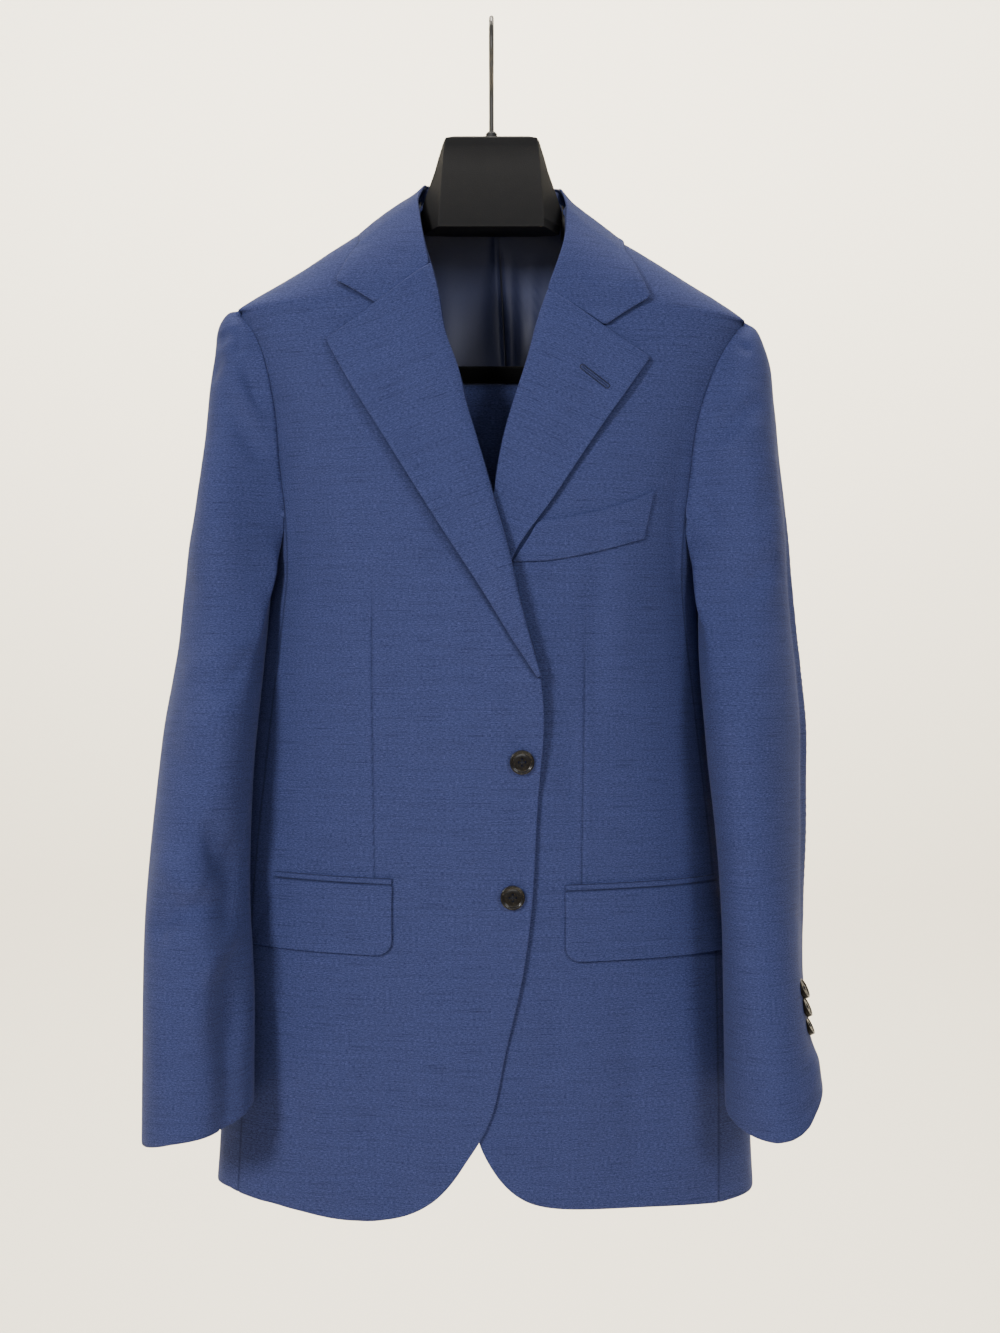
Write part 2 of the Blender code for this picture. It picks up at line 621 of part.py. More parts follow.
for side, word in ((-1, "right"), (1, "left")):
    depths = [0, 14, 28, FLAP_DEEP - CORNER] + [FLAP_DEEP - CORNER * (1 - math.sin(math.radians(a))) for a in
                                                 (25, 50, 72)] + [FLAP_DEEP]
    grid = []
    for depth in depths:
        into = max(depth - (FLAP_DEEP - CORNER), 0)
        inset = CORNER - math.sqrt(max(CORNER ** 2 - into ** 2, 0.0)) if depth < FLAP_DEEP else CORNER * 0.9
        grid.append(pocket_row(side, depth, inset, body))
    wall("flap_" + word, body, grid, lambda down, across: LIE + 1.2 * down, POCKET_WALL, WOOL)
    grid = [pocket_row(side, depth, 0, body) for depth in (-JET_HIGH - LIE, -JET_HIGH / 2, -LIE)]
    wall("jet_" + word, body, grid, LIE, POCKET_WALL, WOOL)

# the breast welt, curved like a boat: X, and Z of its upper and lower edge
WELT = table("x top low", (0, -398.5, -427.5), (0.2, -396.0, -427.0), (0.45, -391.5, -423.5),
             (0.7, -385.5, -418.0), (0.88, -379.5, -413.0), (1, -374.5, -409.5))
WELT_ENDS = ((35.5, 121.0), (16.8, 113.0))        # X of its ends, at the upper and the lower edge
grid = []
for down in spread(0, 1, 4):
    row = []
    for share in spread(0, 1, 9):
        first, last = (a + (b - a) * down for a, b in zip(*WELT_ENDS))
        top, low = column(WELT, "x", "top", share), column(WELT, "x", "low", share)
        row.append(at_front(first + (last - first) * share, top + (low - top) * down))
    grid.append(row)
wall("breast_welt", body, grid, LIE, POCKET_WALL, WOOL)


# ---- buttons ----
def button(name, centre, outward, across):
    """A sewn horn button: a turned disc with a raised rim and four holes. outward: its face's direction."""
    half = across / 2
    profile = ((half, 0.8), (half, BUTTON_HEIGHT - 0.7), (half - 0.7, BUTTON_HEIGHT), (half * 0.74, BUTTON_HEIGHT),
               (half * 0.6, BUTTON_HEIGHT - 1.3))
    mesh = bmesh.new()
    sides = 16
    rings = [(half * 0.78, 0.0)] + list(profile)
    lines = []
    for radius, height in rings:
        lines.append([mesh.verts.new((radius * math.cos(2 * math.pi * k / sides) * MM,
                                      radius * math.sin(2 * math.pi * k / sides) * MM, height * MM))
                      for k in range(sides)])
    for a, b in zip(lines, lines[1:]):
        for k in range(sides):
            mesh.faces.new((a[k], a[(k + 1) % sides], b[(k + 1) % sides], b[k]))
    mesh.faces.new(lines[0])
    mesh.faces.new(lines[-1])
    bmesh.ops.recalc_face_normals(mesh, faces=mesh.faces)
    disc = finish(name, mesh, HORN)
    disc.matrix_world = (Matrix.Translation(centre * MM) @ outward.to_track_quat("Z", "Y").to_matrix().to_4x4())
    for k in range(4):
        turn = math.radians(45 + 90 * k)
        spot = Vector((math.cos(turn), math.sin(turn), 0)) * across * 0.11 * MM
        bpy.ops.mesh.primitive_cylinder_add(vertices=5, radius=across * 0.05 * MM, depth=4 * BUTTON_HEIGHT * MM)
        cutter = bpy.context.object
        cutter.name = f"{name}_hole_{k}"
        cutter.matrix_world = disc.matrix_world @ Matrix.Translation(spot)
        cutter.hide_render = True
        cutter.display_type = "WIRE"
        for owner in list(cutter.users_collection):
            owner.objects.unlink(cutter)
        cutters.objects.link(cutter)
        cut = disc.modifiers.new(f"hole_{k}", "BOOLEAN")
        cut.operation = "DIFFERENCE"
        cut.object = cutter
    return disc


cutters = bpy.data.collections.new("cutters")
bpy.context.scene.collection.children.link(cutters)


def sew_on(name, form, u, v, across, off, tilt=0.0, flip=False, du=0.5):
    """A button that stands off its cloth; tilt, in degrees, lifts its lower edge."""
    outward = normal_of(form, u, v, du, 0.5) * (-1 if flip else 1)
    level = Vector((-outward.y, outward.x, 0)).normalized()
    face = Matrix.Rotation(math.radians(-tilt), 3, level) @ outward
    button(name, form(u, v) + outward * off, face, across)


for name, x, z in (("front_button_upper", 22.6, -574.5), ("front_button_lower", 15.9, -674.0)):
    turn, level = at_front(x, z)
    sew_on(name, over, turn, level, FRONT_BUTTON, 0.5)
CUFF_PITCH = 13.2
CUFF_BUTTON_TILT = 19.0
CUFF_BUTTON_OFF = {-1: 2.4, 1: 2.55}             # from the sleeve to the tilted button's middle
CUFF_BUTTONS = {-1: (170, -768), 1: (76, -745)}   # degrees round the sleeve, and level of the highest
for side, word in ((-1, "right"), (1, "left")):
    angle, level = CUFF_BUTTONS[side]
    for k in range(3):
        sew_on(f"cuff_button_{word}_{k + 1}", sleeve_forms[side], angle + 2 * k, level - CUFF_PITCH * k,
               CUFF_BUTTON, CUFF_BUTTON_OFF[side], CUFF_BUTTON_TILT, flip=side < 0, du=1)

# ---- back lining, with its centre pleat ----
PLEAT_DEEP = 2.0
LINING_TOP, LINING_LOW = -153.0, -440.0
LINING_TOP_GAP = 0.7
grid = []
for level in (LINING_TOP, -165, -180, -200, -225, -250, -280, -320, -380, LINING_LOW):
    half = 64 if level > -300 else 60
    row = [(turn, level) for turn in (180 - half, 180 - 0.6 * half, 180 - 0.25 * half, 176.5, 179.4, 180.6, 185,
                                      180 + 0.25 * half, 180 + 0.6 * half, 180 + half)]
    grid.append(row)


def pleat_lift(down, across):
    """The lining's depth: its top edge lies on the back, and the pleat folds inwards."""
    gap = LINING_TOP_GAP + (LINING_GAP - LINING_TOP_GAP) * ease(0.05, 0.3, down)
    return -CLOTH - gap - LINING_WALL - (PLEAT_DEEP * ease(0, 0.1, down) if 0.3 < across < 0.5 else 0.0)


wall("back_lining", body, grid, pleat_lift, LINING_WALL, SATIN)

# ---- hanger ----
# the neck block's level sections: half width and half depth of the front face, half width of the side corner
BLOCK = table("z face side deep",
              (-92.5, 16, 18, 9.5), (-93.3, 30, 31.5, 13.5), (-94.8, 35.3, 37, 16), (-100, 36.3, 38.7, 17),
              (-111, 37, 41.9, 20.5), (-120, 37.5, 44.2, 24),
              (-136, 38.3, 49.5, 29), (-150, 39.2, 54, 33), (-164, 40, 54, 37), (-171, 40.3, 52.5, 38.5))
BLOCK_RISE = 9.0       # the block's underside rises this much to the back
BLOCK_FRONT = 14.0     # the block reaches this much further forward than back at its foot
rings = []
for row in BLOCK:
    z, face, side, deep = (row[name] for name in ("z", "face", "side", "deep"))
    rise = BLOCK_RISE * ease(-140, -171, z)
    ahead = BLOCK_FRONT * ease(-92, -171, z) * 0.5
    rings.append([(-face, -deep - ahead, z), (face, -deep - ahead, z), (side, -deep * 0.45, z),
                  (side * 0.96, deep * 0.15, z + rise / 2), (face * 0.8, deep * 0.7, z + rise),
                  (-face * 0.8, deep * 0.7, z + rise), (-side * 0.96, deep * 0.15, z + rise / 2),
                  (-side, -deep * 0.45, z)])
loft("hanger_neck_block", rings, PLASTIC)

# the arms: X, height and half depth of each section; their backs lie just under the shoulders
ARM = table("x high deep", (54.6, 27, 16), (75, 30, 18), (100, 32, 20), (125, 34, 22), (150, 36, 24),
            (172, 38, 25), (184, 36, 23), (189, 28, 17))
ARM_UNDER = 2.8        # the arm's top below the shoulder's outer line


def shoulder_height(x):
    """Level of the shoulder's ridge at a distance from the middle."""
    return column([dict(x=row["half"], z=row["z"]) for row in BODY if row["z"] >= TIP_Z], "x", "z", x)


for side, word in ((-1, "right"), (1, "left")):
    rings = []
    for row in ARM:
        x, high, deep = row["x"], row["high"], row["deep"]
        top = min(shoulder_height(x + 2.0) - ARM_UNDER, -143.0)
        middle = lean(side * x, top - high / 2)
        rings.append([(side * x, deep * math.cos(a) - 2.0, middle + high / 2 * math.sin(a))
                      for a in (2 * math.pi * k / 16 for k in range(16))])
    loft("hanger_arm_" + word, rings, PLASTIC)

LOCK_BAR_Z, LOCK_BAR_RADIUS = -276.8, 6.8
RAIL_Z, RAIL_RADIUS = -300.0, 5.0
BAR_HALF = 150.0
POST_WIDE, POST_DEEP = 7.0, 18.0
POST_CLEAR = 3.0       # room for the slope of the arm's underside over the post's width


def rod(name, z, radius, material):
    bpy.ops.mesh.primitive_cylinder_add(vertices=20, radius=radius * MM, depth=2 * BAR_HALF * MM,
                                        location=(0, -2 * MM, z * MM), rotation=(0, math.pi / 2, 0))
    made = bpy.context.object
    made.name = name
    made.data.materials.append(material)
    made.data.shade_smooth()
    made.data.set_sharp_from_angle(angle=math.radians(35))
    for owner in list(made.users_collection):
        owner.objects.unlink(made)
    suit.objects.link(made)


rod("hanger_lock_bar", LOCK_BAR_Z, LOCK_BAR_RADIUS, FLOCK)
rod("hanger_rail", RAIL_Z, RAIL_RADIUS, FLOCK)
for side, word in ((-1, "right"), (1, "left")):
    x = side * (BAR_HALF + SEAM + POST_WIDE / 2)
    arm_top = shoulder_height(abs(x) + 2.0) - ARM_UNDER
    top = lean(x, arm_top - column(ARM, "x", "high", abs(x))) - POST_CLEAR
    low = RAIL_Z - RAIL_RADIUS - 4
    bpy.ops.mesh.primitive_cube_add(size=1, location=(x * MM, -2 * MM, (top + low) / 2 * MM),
                                    scale=(POST_WIDE * MM, POST_DEEP * MM, (top - low) * MM))
    post = bpy.context.object
    bpy.ops.object.transform_apply(location=False, rotation=False, scale=True)
    post.name = "hanger_post_" + word
    post.data.materials.append(PLASTIC)
    edge_round = post.modifiers.new("edges", "BEVEL")
    edge_round.width = 1.5 * MM
    edge_round.segments = 2
    for owner in list(post.users_collection):
        owner.objects.unlink(post)
    suit.objects.link(post)

# ferrule, where the wire enters the block, and the wire with its hook
FERRULE_Z, FERRULE_HIGH, FERRULE_RADIUS = -92.5, 6.0, 4.4
bore = HOOK_WIRE / 2 + 0.3
rings_out, rings_in = [], []
for height, radius in ((0.3, FERRULE_RADIUS), (4.6, FERRULE_RADIUS), (FERRULE_HIGH, FERRULE_RADIUS - 1.2)):
    for rings, r in ((rings_out, radius), (rings_in, bore)):
        rings.append([(r * math.cos(2 * math.pi * k / 20), r * math.sin(2 * math.pi * k / 20), FERRULE_Z + height)
                      for k in range(20)])
loft("hanger_ferrule", rings_out, PLASTIC, open_ends=rings_in)

bow = HOOK_RADIUS + HOOK_WIRE / 2
path = [(0, 0, z) for z in spread(FERRULE_Z + 0.4, -58, 5)]
START = math.radians(222)      # where the stem joins the bow, from +Y round the top
ring_start = Vector((0, bow * math.cos(START), -HOOK_RADIUS + bow * math.sin(START)))
for k in range(1, 5):
    share = ease(0, 5, k)
    path.append((0, ring_start.y * share, -58 + (ring_start.z + 58) * k / 5))
for k in range(22):
    turn = START + (math.radians(-18) - START) * k / 21
    path.append((0, bow * math.cos(turn), -HOOK_RADIUS + bow * math.sin(turn)))
curve = bpy.data.curves.new("hanger_hook", "CURVE")
curve.dimensions = "3D"
curve.bevel_depth = HOOK_WIRE / 2 * MM
curve.bevel_resolution = 3
curve.use_fill_caps = True
spline = curve.splines.new("POLY")
spline.points.add(len(path) - 1)
for point, place in zip(spline.points, path):
    point.co = (*(value * MM for value in place), 1)
curve.materials.append(WIRE)
hook = bpy.data.objects.new("hanger_hook", curve)
suit.objects.link(hook)

# ---- trousers, folded on their creases and over the rail: one half of the legs lies on the other ----
TROUSER_SIDE = 12      # points round a leg's flat section
LEG_THICK = 4.8        # a leg, flat: two walls and the air between them
FRONT_DROP, BACK_DROP = 500.0, 520.0
# down: length from the rail's top, - to the leg's hem at the front, + to the waist at the back; half: half width
LEG = table("down half", (-500, 105), (-250, 111), (-40, 119), (40, 121), (200, 134), (360, 148), (440, 146),
            (520, 122))


def leg(name, bend):
    """A leg's flat tube over the rail; bend is the radius of its middle where it passes over."""
    outer, inner = [], []
    arc = math.pi * bend
    steps = ([-FRONT_DROP + (FRONT_DROP - arc / 2) * k / 6 for k in range(6)]
             + [arc * (k / 8 - 0.5) for k in range(9)]
             + [arc / 2 + (BACK_DROP - arc / 2) * k / 7 for k in range(1, 8)])
    for down in steps:
        if abs(down) <= arc / 2 + 1e-9:
            swing = down / bend
            middle = Vector((0, -2.0 + bend * math.sin(swing), RAIL_Z + bend * math.cos(swing)))
            outward = Vector((0, math.sin(swing), math.cos(swing)))
        else:
            way = math.copysign(1, down)
            middle = Vector((0, -2.0 + way * bend, RAIL_Z - (abs(down) - arc / 2)))
            outward = Vector((0, way, 0))
        half = column(LEG, "down", "half", down)
        for rings, wide, thick in ((outer, half, LEG_THICK / 2), (inner, half - TROUSER_WALL,
                                                                  LEG_THICK / 2 - TROUSER_WALL)):
            ring = []
            for k in range(TROUSER_SIDE):
                turn = 2 * math.pi * (k + 0.5) / TROUSER_SIDE
                x = math.copysign(abs(math.cos(turn)) ** 0.6, math.cos(turn)) * wide
                off = math.copysign(abs(math.sin(turn)) ** 0.45, math.sin(turn)) * thick
                ring.append(middle + Vector((x, 0, 0)) + outward * off)
            rings.append(ring)
    return loft(name, outer, WOOL, open_ends=inner)


inner_bend = RAIL_RADIUS + LIE + LEG_THICK / 2
leg("trouser_leg_left", inner_bend)
leg("trouser_leg_right", inner_bend + LEG_THICK + LIE)
BAND_HIGH, BAND_WALL, BAND_HALF = 38.0, 2.0, 138.0
half_deep = LEG_THICK + LIE / 2 + LIE      # half the room inside the band, for both legs' backs
band_low = RAIL_Z - (BACK_DROP - math.pi * inner_bend / 2)
band_middle = -2.0 + inner_bend + (LEG_THICK + LIE) / 2
outer, inner = [], []
for z in spread(band_low - 4, band_low - 4 + BAND_HIGH, 3):
    for rings, room in ((outer, BAND_WALL), (inner, 0.0)):
        wide, deep = BAND_HALF - BAND_WALL + room, half_deep + room
        rings.append([(math.copysign(abs(math.cos(a)) ** 0.35, math.cos(a)) * wide,
                       band_middle + math.copysign(abs(math.sin(a)) ** 0.2, math.sin(a)) * deep, z)
                      for a in (2 * math.pi * (k + 0.5) / 24 for k in range(24))])
loft("waistband", outer, WOOL, open_ends=inner)
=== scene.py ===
import math

import bmesh
import bpy
import numpy as np
from mathutils import Matrix, Vector
from mathutils.bvhtree import BVHTree


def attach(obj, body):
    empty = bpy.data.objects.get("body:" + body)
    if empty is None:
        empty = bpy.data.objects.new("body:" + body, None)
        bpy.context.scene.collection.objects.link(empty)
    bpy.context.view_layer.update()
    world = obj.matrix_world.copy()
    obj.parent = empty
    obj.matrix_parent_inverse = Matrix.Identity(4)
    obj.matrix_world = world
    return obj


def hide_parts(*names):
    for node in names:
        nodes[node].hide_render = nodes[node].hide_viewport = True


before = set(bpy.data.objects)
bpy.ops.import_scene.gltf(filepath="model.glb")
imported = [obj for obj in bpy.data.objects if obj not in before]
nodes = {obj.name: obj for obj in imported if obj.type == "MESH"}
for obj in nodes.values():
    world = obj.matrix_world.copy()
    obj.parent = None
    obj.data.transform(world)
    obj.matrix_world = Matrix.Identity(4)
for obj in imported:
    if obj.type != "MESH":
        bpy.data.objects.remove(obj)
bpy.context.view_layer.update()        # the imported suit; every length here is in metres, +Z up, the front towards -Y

MM = 0.001
LEFT, RIGHT = 1, -1      # the wearer's left and right: the sign of X


# ---- camera ----
# A 50 mm lens on a 36 mm long side, level with the jacket's middle and a little to the wearer's left.
camera_data = bpy.data.cameras.new("camera")
camera_data.lens = 50
camera_data.sensor_fit = "AUTO"
camera_data.sensor_width = 36
camera_data.clip_end = 60
camera = bpy.data.objects.new("camera", camera_data)
camera.location = (0.0067, -1.450, -0.5048)
camera.rotation_euler = (math.radians(90), 0, 0)
bpy.context.scene.collection.objects.link(camera)
bpy.context.scene.camera = camera


# ---- wire hook and ferrule ----
# The hook is bright steel wire, bent over a former and pressed into the block through a small black ferrule.
# The drawing of the wire leaves fine lines along it.
def new_finish(name, **settings):
    """A material, its node tree and its shader, with the shader's plain settings."""
    finish = bpy.data.materials.new(name)
    finish.use_nodes = True
    tree = finish.node_tree
    shader = tree.nodes["Principled BSDF"]
    for key, value in settings.items():
        shader.inputs[key.replace("_", " ")].default_value = value
    return finish, tree, shader


def add(tree, kind, values=None, links=None, **settings):
    """A node in the tree, with its settings, its plain values, and what is linked into it."""
    node = tree.nodes.new(kind)
    for key, value in settings.items():
        setattr(node, key, value)
    for key, value in (values or {}).items():
        node.inputs[key].default_value = value
    for key, source in (links or {}).items():
        tree.links.new(source, node.inputs[key])
    return node


def new_group(name, inputs, outputs):
    """A node group with its named sockets: (name, kind, default) each way."""
    group = bpy.data.node_groups.new(name, "ShaderNodeTree")
    for way, rows in (("INPUT", inputs), ("OUTPUT", outputs)):
        for label, kind, *default in rows:
            socket = group.interface.new_socket(name=label, in_out=way, socket_type="NodeSocket" + kind)
            if default:
                socket.default_value = default[0]
    return group, group.nodes.new("NodeGroupInput"), group.nodes.new("NodeGroupOutput")


def place_group(tree, group, values=None, links=None):
    """A node group placed in a material."""
    return add(tree, "ShaderNodeGroup", values, links, node_tree=group)


def add_relief(tree, shader, strength, distance, height):
    """A fine relief on the surface, from the socket that gives its height."""
    bump = add(tree, "ShaderNodeBump", {"Strength": strength, "Distance": distance}, {"Height": height})
    tree.links.new(bump.outputs["Normal"], shader.inputs["Normal"])


def mix_colour(tree, factor, first, second, blend="MIX"):
    """The colour socket of a Mix node; each of the three is a socket or a plain value."""
    node = tree.nodes.new("ShaderNodeMix")
    node.data_type = "RGBA"
    node.blend_type = blend
    for socket, source in ((node.inputs[0], factor), (node.inputs[6], first), (node.inputs[7], second)):
        if isinstance(source, bpy.types.NodeSocket):
            tree.links.new(source, socket)
        else:
            socket.default_value = source
    return node.outputs[2]


def put_on(node_name, finish):
    """Gives a CAD node its finish in every slot."""
    for slot in nodes[node_name].material_slots:
        slot.material = finish


# hard_grain: the fine uneven surface of wire, plastic and horn, with cloudy patches in its tone
hard_grain, group_in, group_out = new_group("hard_grain",
    [("Place", "Vector"), ("Colour", "Color", (0.5, 0.5, 0.5, 1)), ("Patch", "Color", (0.4, 0.4, 0.4, 1)),
     ("Patch size", "Float", 60.0), ("Grain size", "Float", 1500.0), ("Dull", "Float", 0.5),
     ("Shiny", "Float", 0.3)],
    [("Colour", "Color"), ("Roughness", "Float"), ("Height", "Float")])
patches = add(hard_grain, "ShaderNodeTexNoise", {"Detail": 3.0, "Roughness": 0.6},
              {"Vector": group_in.outputs["Place"], "Scale": group_in.outputs["Patch size"]})
grain = add(hard_grain, "ShaderNodeTexNoise", {"Detail": 2.0},
            {"Vector": group_in.outputs["Place"], "Scale": group_in.outputs["Grain size"]})
hard_grain.links.new(mix_colour(hard_grain, patches.outputs["Fac"], group_in.outputs["Colour"],
                                group_in.outputs["Patch"]), group_out.inputs["Colour"])
tone = add(hard_grain, "ShaderNodeMapRange", None,
           {"Value": patches.outputs["Fac"], "To Min": group_in.outputs["Dull"],
            "To Max": group_in.outputs["Shiny"]})
tone.inputs["From Min"].default_value = 0.3
tone.inputs["From Max"].default_value = 0.7
hard_grain.links.new(tone.outputs["Result"], group_out.inputs["Roughness"])
hard_grain.links.new(grain.outputs["Fac"], group_out.inputs["Height"])


def hard_finish(name, colour, patch, patch_size, grain_size, dull, shiny, bump, stretch=(1, 1, 1),
                **settings):
    """A finish made of hard_grain on Object coordinates; stretch draws the grain out along an axis."""
    finish, tree, shader = new_finish(name, **settings)
    place = add(tree, "ShaderNodeTexCoord").outputs["Object"]
    place = add(tree, "ShaderNodeMapping", {"Scale": stretch}, {"Vector": place}).outputs["Vector"]
    grain_node = place_group(tree, hard_grain,
                             {"Colour": (*colour, 1), "Patch": (*patch, 1), "Patch size": patch_size,
                              "Grain size": grain_size, "Dull": dull, "Shiny": shiny}, {"Place": place})
    tree.links.new(grain_node.outputs["Colour"], shader.inputs["Base Color"])
    tree.links.new(grain_node.outputs["Roughness"], shader.inputs["Roughness"])
    add_relief(tree, shader, 0.6, bump, grain_node.outputs["Height"])
    return finish


steel = hard_finish("drawn_steel", (0.26, 0.25, 0.24), (0.14, 0.135, 0.13), 90, 2500, 0.42, 0.28, 0.00006,
                    stretch=(1, 1, 0.05), Metallic=1.0)
ferrule_black = hard_finish("ferrule_black", (0.016, 0.016, 0.017), (0.022, 0.022, 0.023), 120, 1800, 0.5,
                            0.4, 0.00005)
put_on("hanger_hook", steel)
put_on("hanger_ferrule", ferrule_black)


# ---- neck block ----
# The hanger's broad neck block is one moulding of black plastic, with flat faces, soft edges and a fine
# leathery grain. Its front stays bare, where such blocks carry an embossed mark.
BLOCK_EDGE = 0.8 * MM        # radius of the moulding's edges
BLOCK_SHARP = 20             # degrees; edges that turn more than this are rounded


def copy_of(name, new_name=None):
    """A new object with a copy of a CAD node's mesh, its loose triangles joined."""
    mesh = nodes[name].data.copy()
    mesh.materials.clear()
    mesh.attributes.remove(mesh.attributes["custom_normal"])
    piece = bpy.data.objects.new(new_name or name + "_made", mesh)
    piece.data.name = piece.name
    bpy.context.scene.collection.objects.link(piece)
    shape = bmesh.new()
    shape.from_mesh(mesh)
    bmesh.ops.remove_doubles(shape, verts=shape.verts, dist=2e-6)
    shape.to_mesh(mesh)
    shape.free()
    return piece


def only(piece):
    """Leaves this piece alone selected and active."""
    bpy.ops.object.select_all(action="DESELECT")
    piece.select_set(True)
    bpy.context.view_layer.objects.active = piece


def with_modifier(piece, kind, **settings):
    """Adds a modifier with these settings and applies it."""
    only(piece)
    modifier = piece.modifiers.new(kind.lower(), kind)
    for key, value in settings.items():
        setattr(modifier, key, value)
    bpy.ops.object.modifier_apply(modifier=modifier.name)


def flat_faces_joined(piece, degrees=1.0):
    """Dissolves the edges inside flat faces."""
    only(piece)
    bpy.ops.object.mode_set(mode="EDIT")
    bpy.ops.mesh.select_all(action="SELECT")
    bpy.ops.mesh.dissolve_limited(angle_limit=math.radians(degrees))
    bpy.ops.object.mode_set(mode="OBJECT")


def smooth_by_angle(piece, degrees):
    only(piece)
    bpy.ops.object.shade_smooth_by_angle(angle=math.radians(degrees))


def stands_for(piece, finish, slot, *names):
    """The piece takes its finish, hides the CAD nodes that it stands for, and rides on the body. Its slot is not used.
    """
    piece.data.materials.clear()
    piece.data.materials.append(finish)
    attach(piece, "root")
    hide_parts(*names)


block_black = hard_finish("block_black", (0.0125, 0.0122, 0.0132), (0.0138, 0.0135, 0.0146), 45, 1100, 0.74,
                          0.70, 0.00014, Specular_IOR_Level=0.36)
block = copy_of("hanger_neck_block")
flat_faces_joined(block)
with_modifier(block, "BEVEL", width=BLOCK_EDGE, segments=3, limit_method="ANGLE",
              angle_limit=math.radians(BLOCK_SHARP), use_clamp_overlap=True, harden_normals=True)
smooth_by_angle(block, 24)
with_modifier(block, "WEIGHTED_NORMAL", keep_sharp=True)
stands_for(block, block_black, "black_plastic", "hanger_neck_block")


# ---- hanger arms, lock bar, rail and posts ----
# The arms are broad shoulder forms of the same black plastic, hidden in the jacket. The trousers hang over a
# steel rail between two posts, and a flocked lock bar lies over them so that they can't slip.
SHOULDER_TIP = (196, -224)       # where a shoulder's line ends, X and Z in mm
SHOULDER_SLOPE = 0.59            # how steeply the line rises from there to the neck
DROP_FADES = (4, 48)             # mm under that line: a drop is full to the first, and gone at the second
# how far the shoulders sit lower than their cutting line, towards the sleeves: X and drop in mm
SHOULDER_DROPS = ((-215, 4.4), (-196, 4.4), (-181, 3.4), (-144, 3.1), (-134, 2.3), (-125, 1.5), (-107, 0.7),
                  (-95, 0), (62, 0), (78, 3.6), (98, 3.4), (112, 2.4), (130, 2.0), (150, 2.0), (170, 1.6),
                  (185, 2.4), (196, 3.8), (215, 3.8))


def points_of(piece):
    """The piece's points, a row of X, Y and Z for each."""
    points = np.empty(len(piece.data.vertices) * 3)
    piece.data.vertices.foreach_get("co", points)
    return points.reshape(-1, 3)


def move_points(piece, points):
    piece.data.vertices.foreach_set("co", points.ravel())
    piece.data.update()


def eased(share):
    """A share from 0 to 1 that starts and ends softly."""
    return share * share * (3 - 2 * share)


def press_down(piece, drops):
    """Lowers the top of a shoulder by a table of drops, fading out down its face."""
    points = points_of(piece)
    across, (tip, low), (full, gone) = points[:, 0] / MM, SHOULDER_TIP, DROP_FADES
    ridge = (low + (tip - np.abs(across)) * SHOULDER_SLOPE) * MM
    share = np.clip((points[:, 2] - ridge + gone * MM) / ((gone - full) * MM), 0, 1)
    points[:, 2] -= np.interp(across, *zip(*drops)) * MM * eased(share)
    move_points(piece, points)


arm_black = hard_finish("arm_black", (0.017, 0.017, 0.018), (0.022, 0.022, 0.023), 45, 1100, 0.6, 0.5,
                        0.00015)
for arm_name in ("hanger_arm_right", "hanger_arm_left"):
    arm = copy_of(arm_name)
    with_modifier(arm, "BEVEL", width=2 * MM, segments=3, limit_method="ANGLE", angle_limit=math.radians(35),
                  use_clamp_overlap=True)
    smooth_by_angle(arm, 40)
    press_down(arm, SHOULDER_DROPS)
    stands_for(arm, arm_black, "black_plastic", arm_name)

flock, tree, shader = new_finish("flock", Roughness=0.97, Specular_IOR_Level=0.12, Sheen_Weight=0.12,
                                 Sheen_Roughness=0.4)
place = add(tree, "ShaderNodeTexCoord").outputs["Object"]
fibres = add(tree, "ShaderNodeTexNoise", {"Scale": 2200.0, "Detail": 2.0}, {"Vector": place})
two_blacks = mix_colour(tree, fibres.outputs["Fac"], (0.0022, 0.0022, 0.0024, 1), (0.006, 0.006, 0.0065, 1))
tree.links.new(two_blacks, shader.inputs["Base Color"])
add_relief(tree, shader, 0.7, 0.0003, fibres.outputs["Fac"])
put_on("hanger_lock_bar", flock)
put_on("hanger_rail", steel)
put_on("hanger_post_right", arm_black)
put_on("hanger_post_left", arm_black)


# ---- trousers ----
# The trousers of the same cloth hang folded on their creases over the rail: two legs, one half lying on the
# other, with the waistband at the back. They are cut in four panels and pressed.
SMOOTHING = 3                # subdivision steps on every cloth piece
FADE = 14 * MM               # creases fade out over this distance from another piece's form
SEAM_STILL = 1.5 * MM        # and nothing moves nearer to it than this
PASSES = 4                   # passes that bring the smoothed wall back onto the CAD node's
WALL_ROUND = 0.45            # how sharp a panel's cut edges stay
CLOTH_AXIS = (0.0, -0.014, 0.180, 0.075)      # the garment's middle, X and Y, its half width and half depth


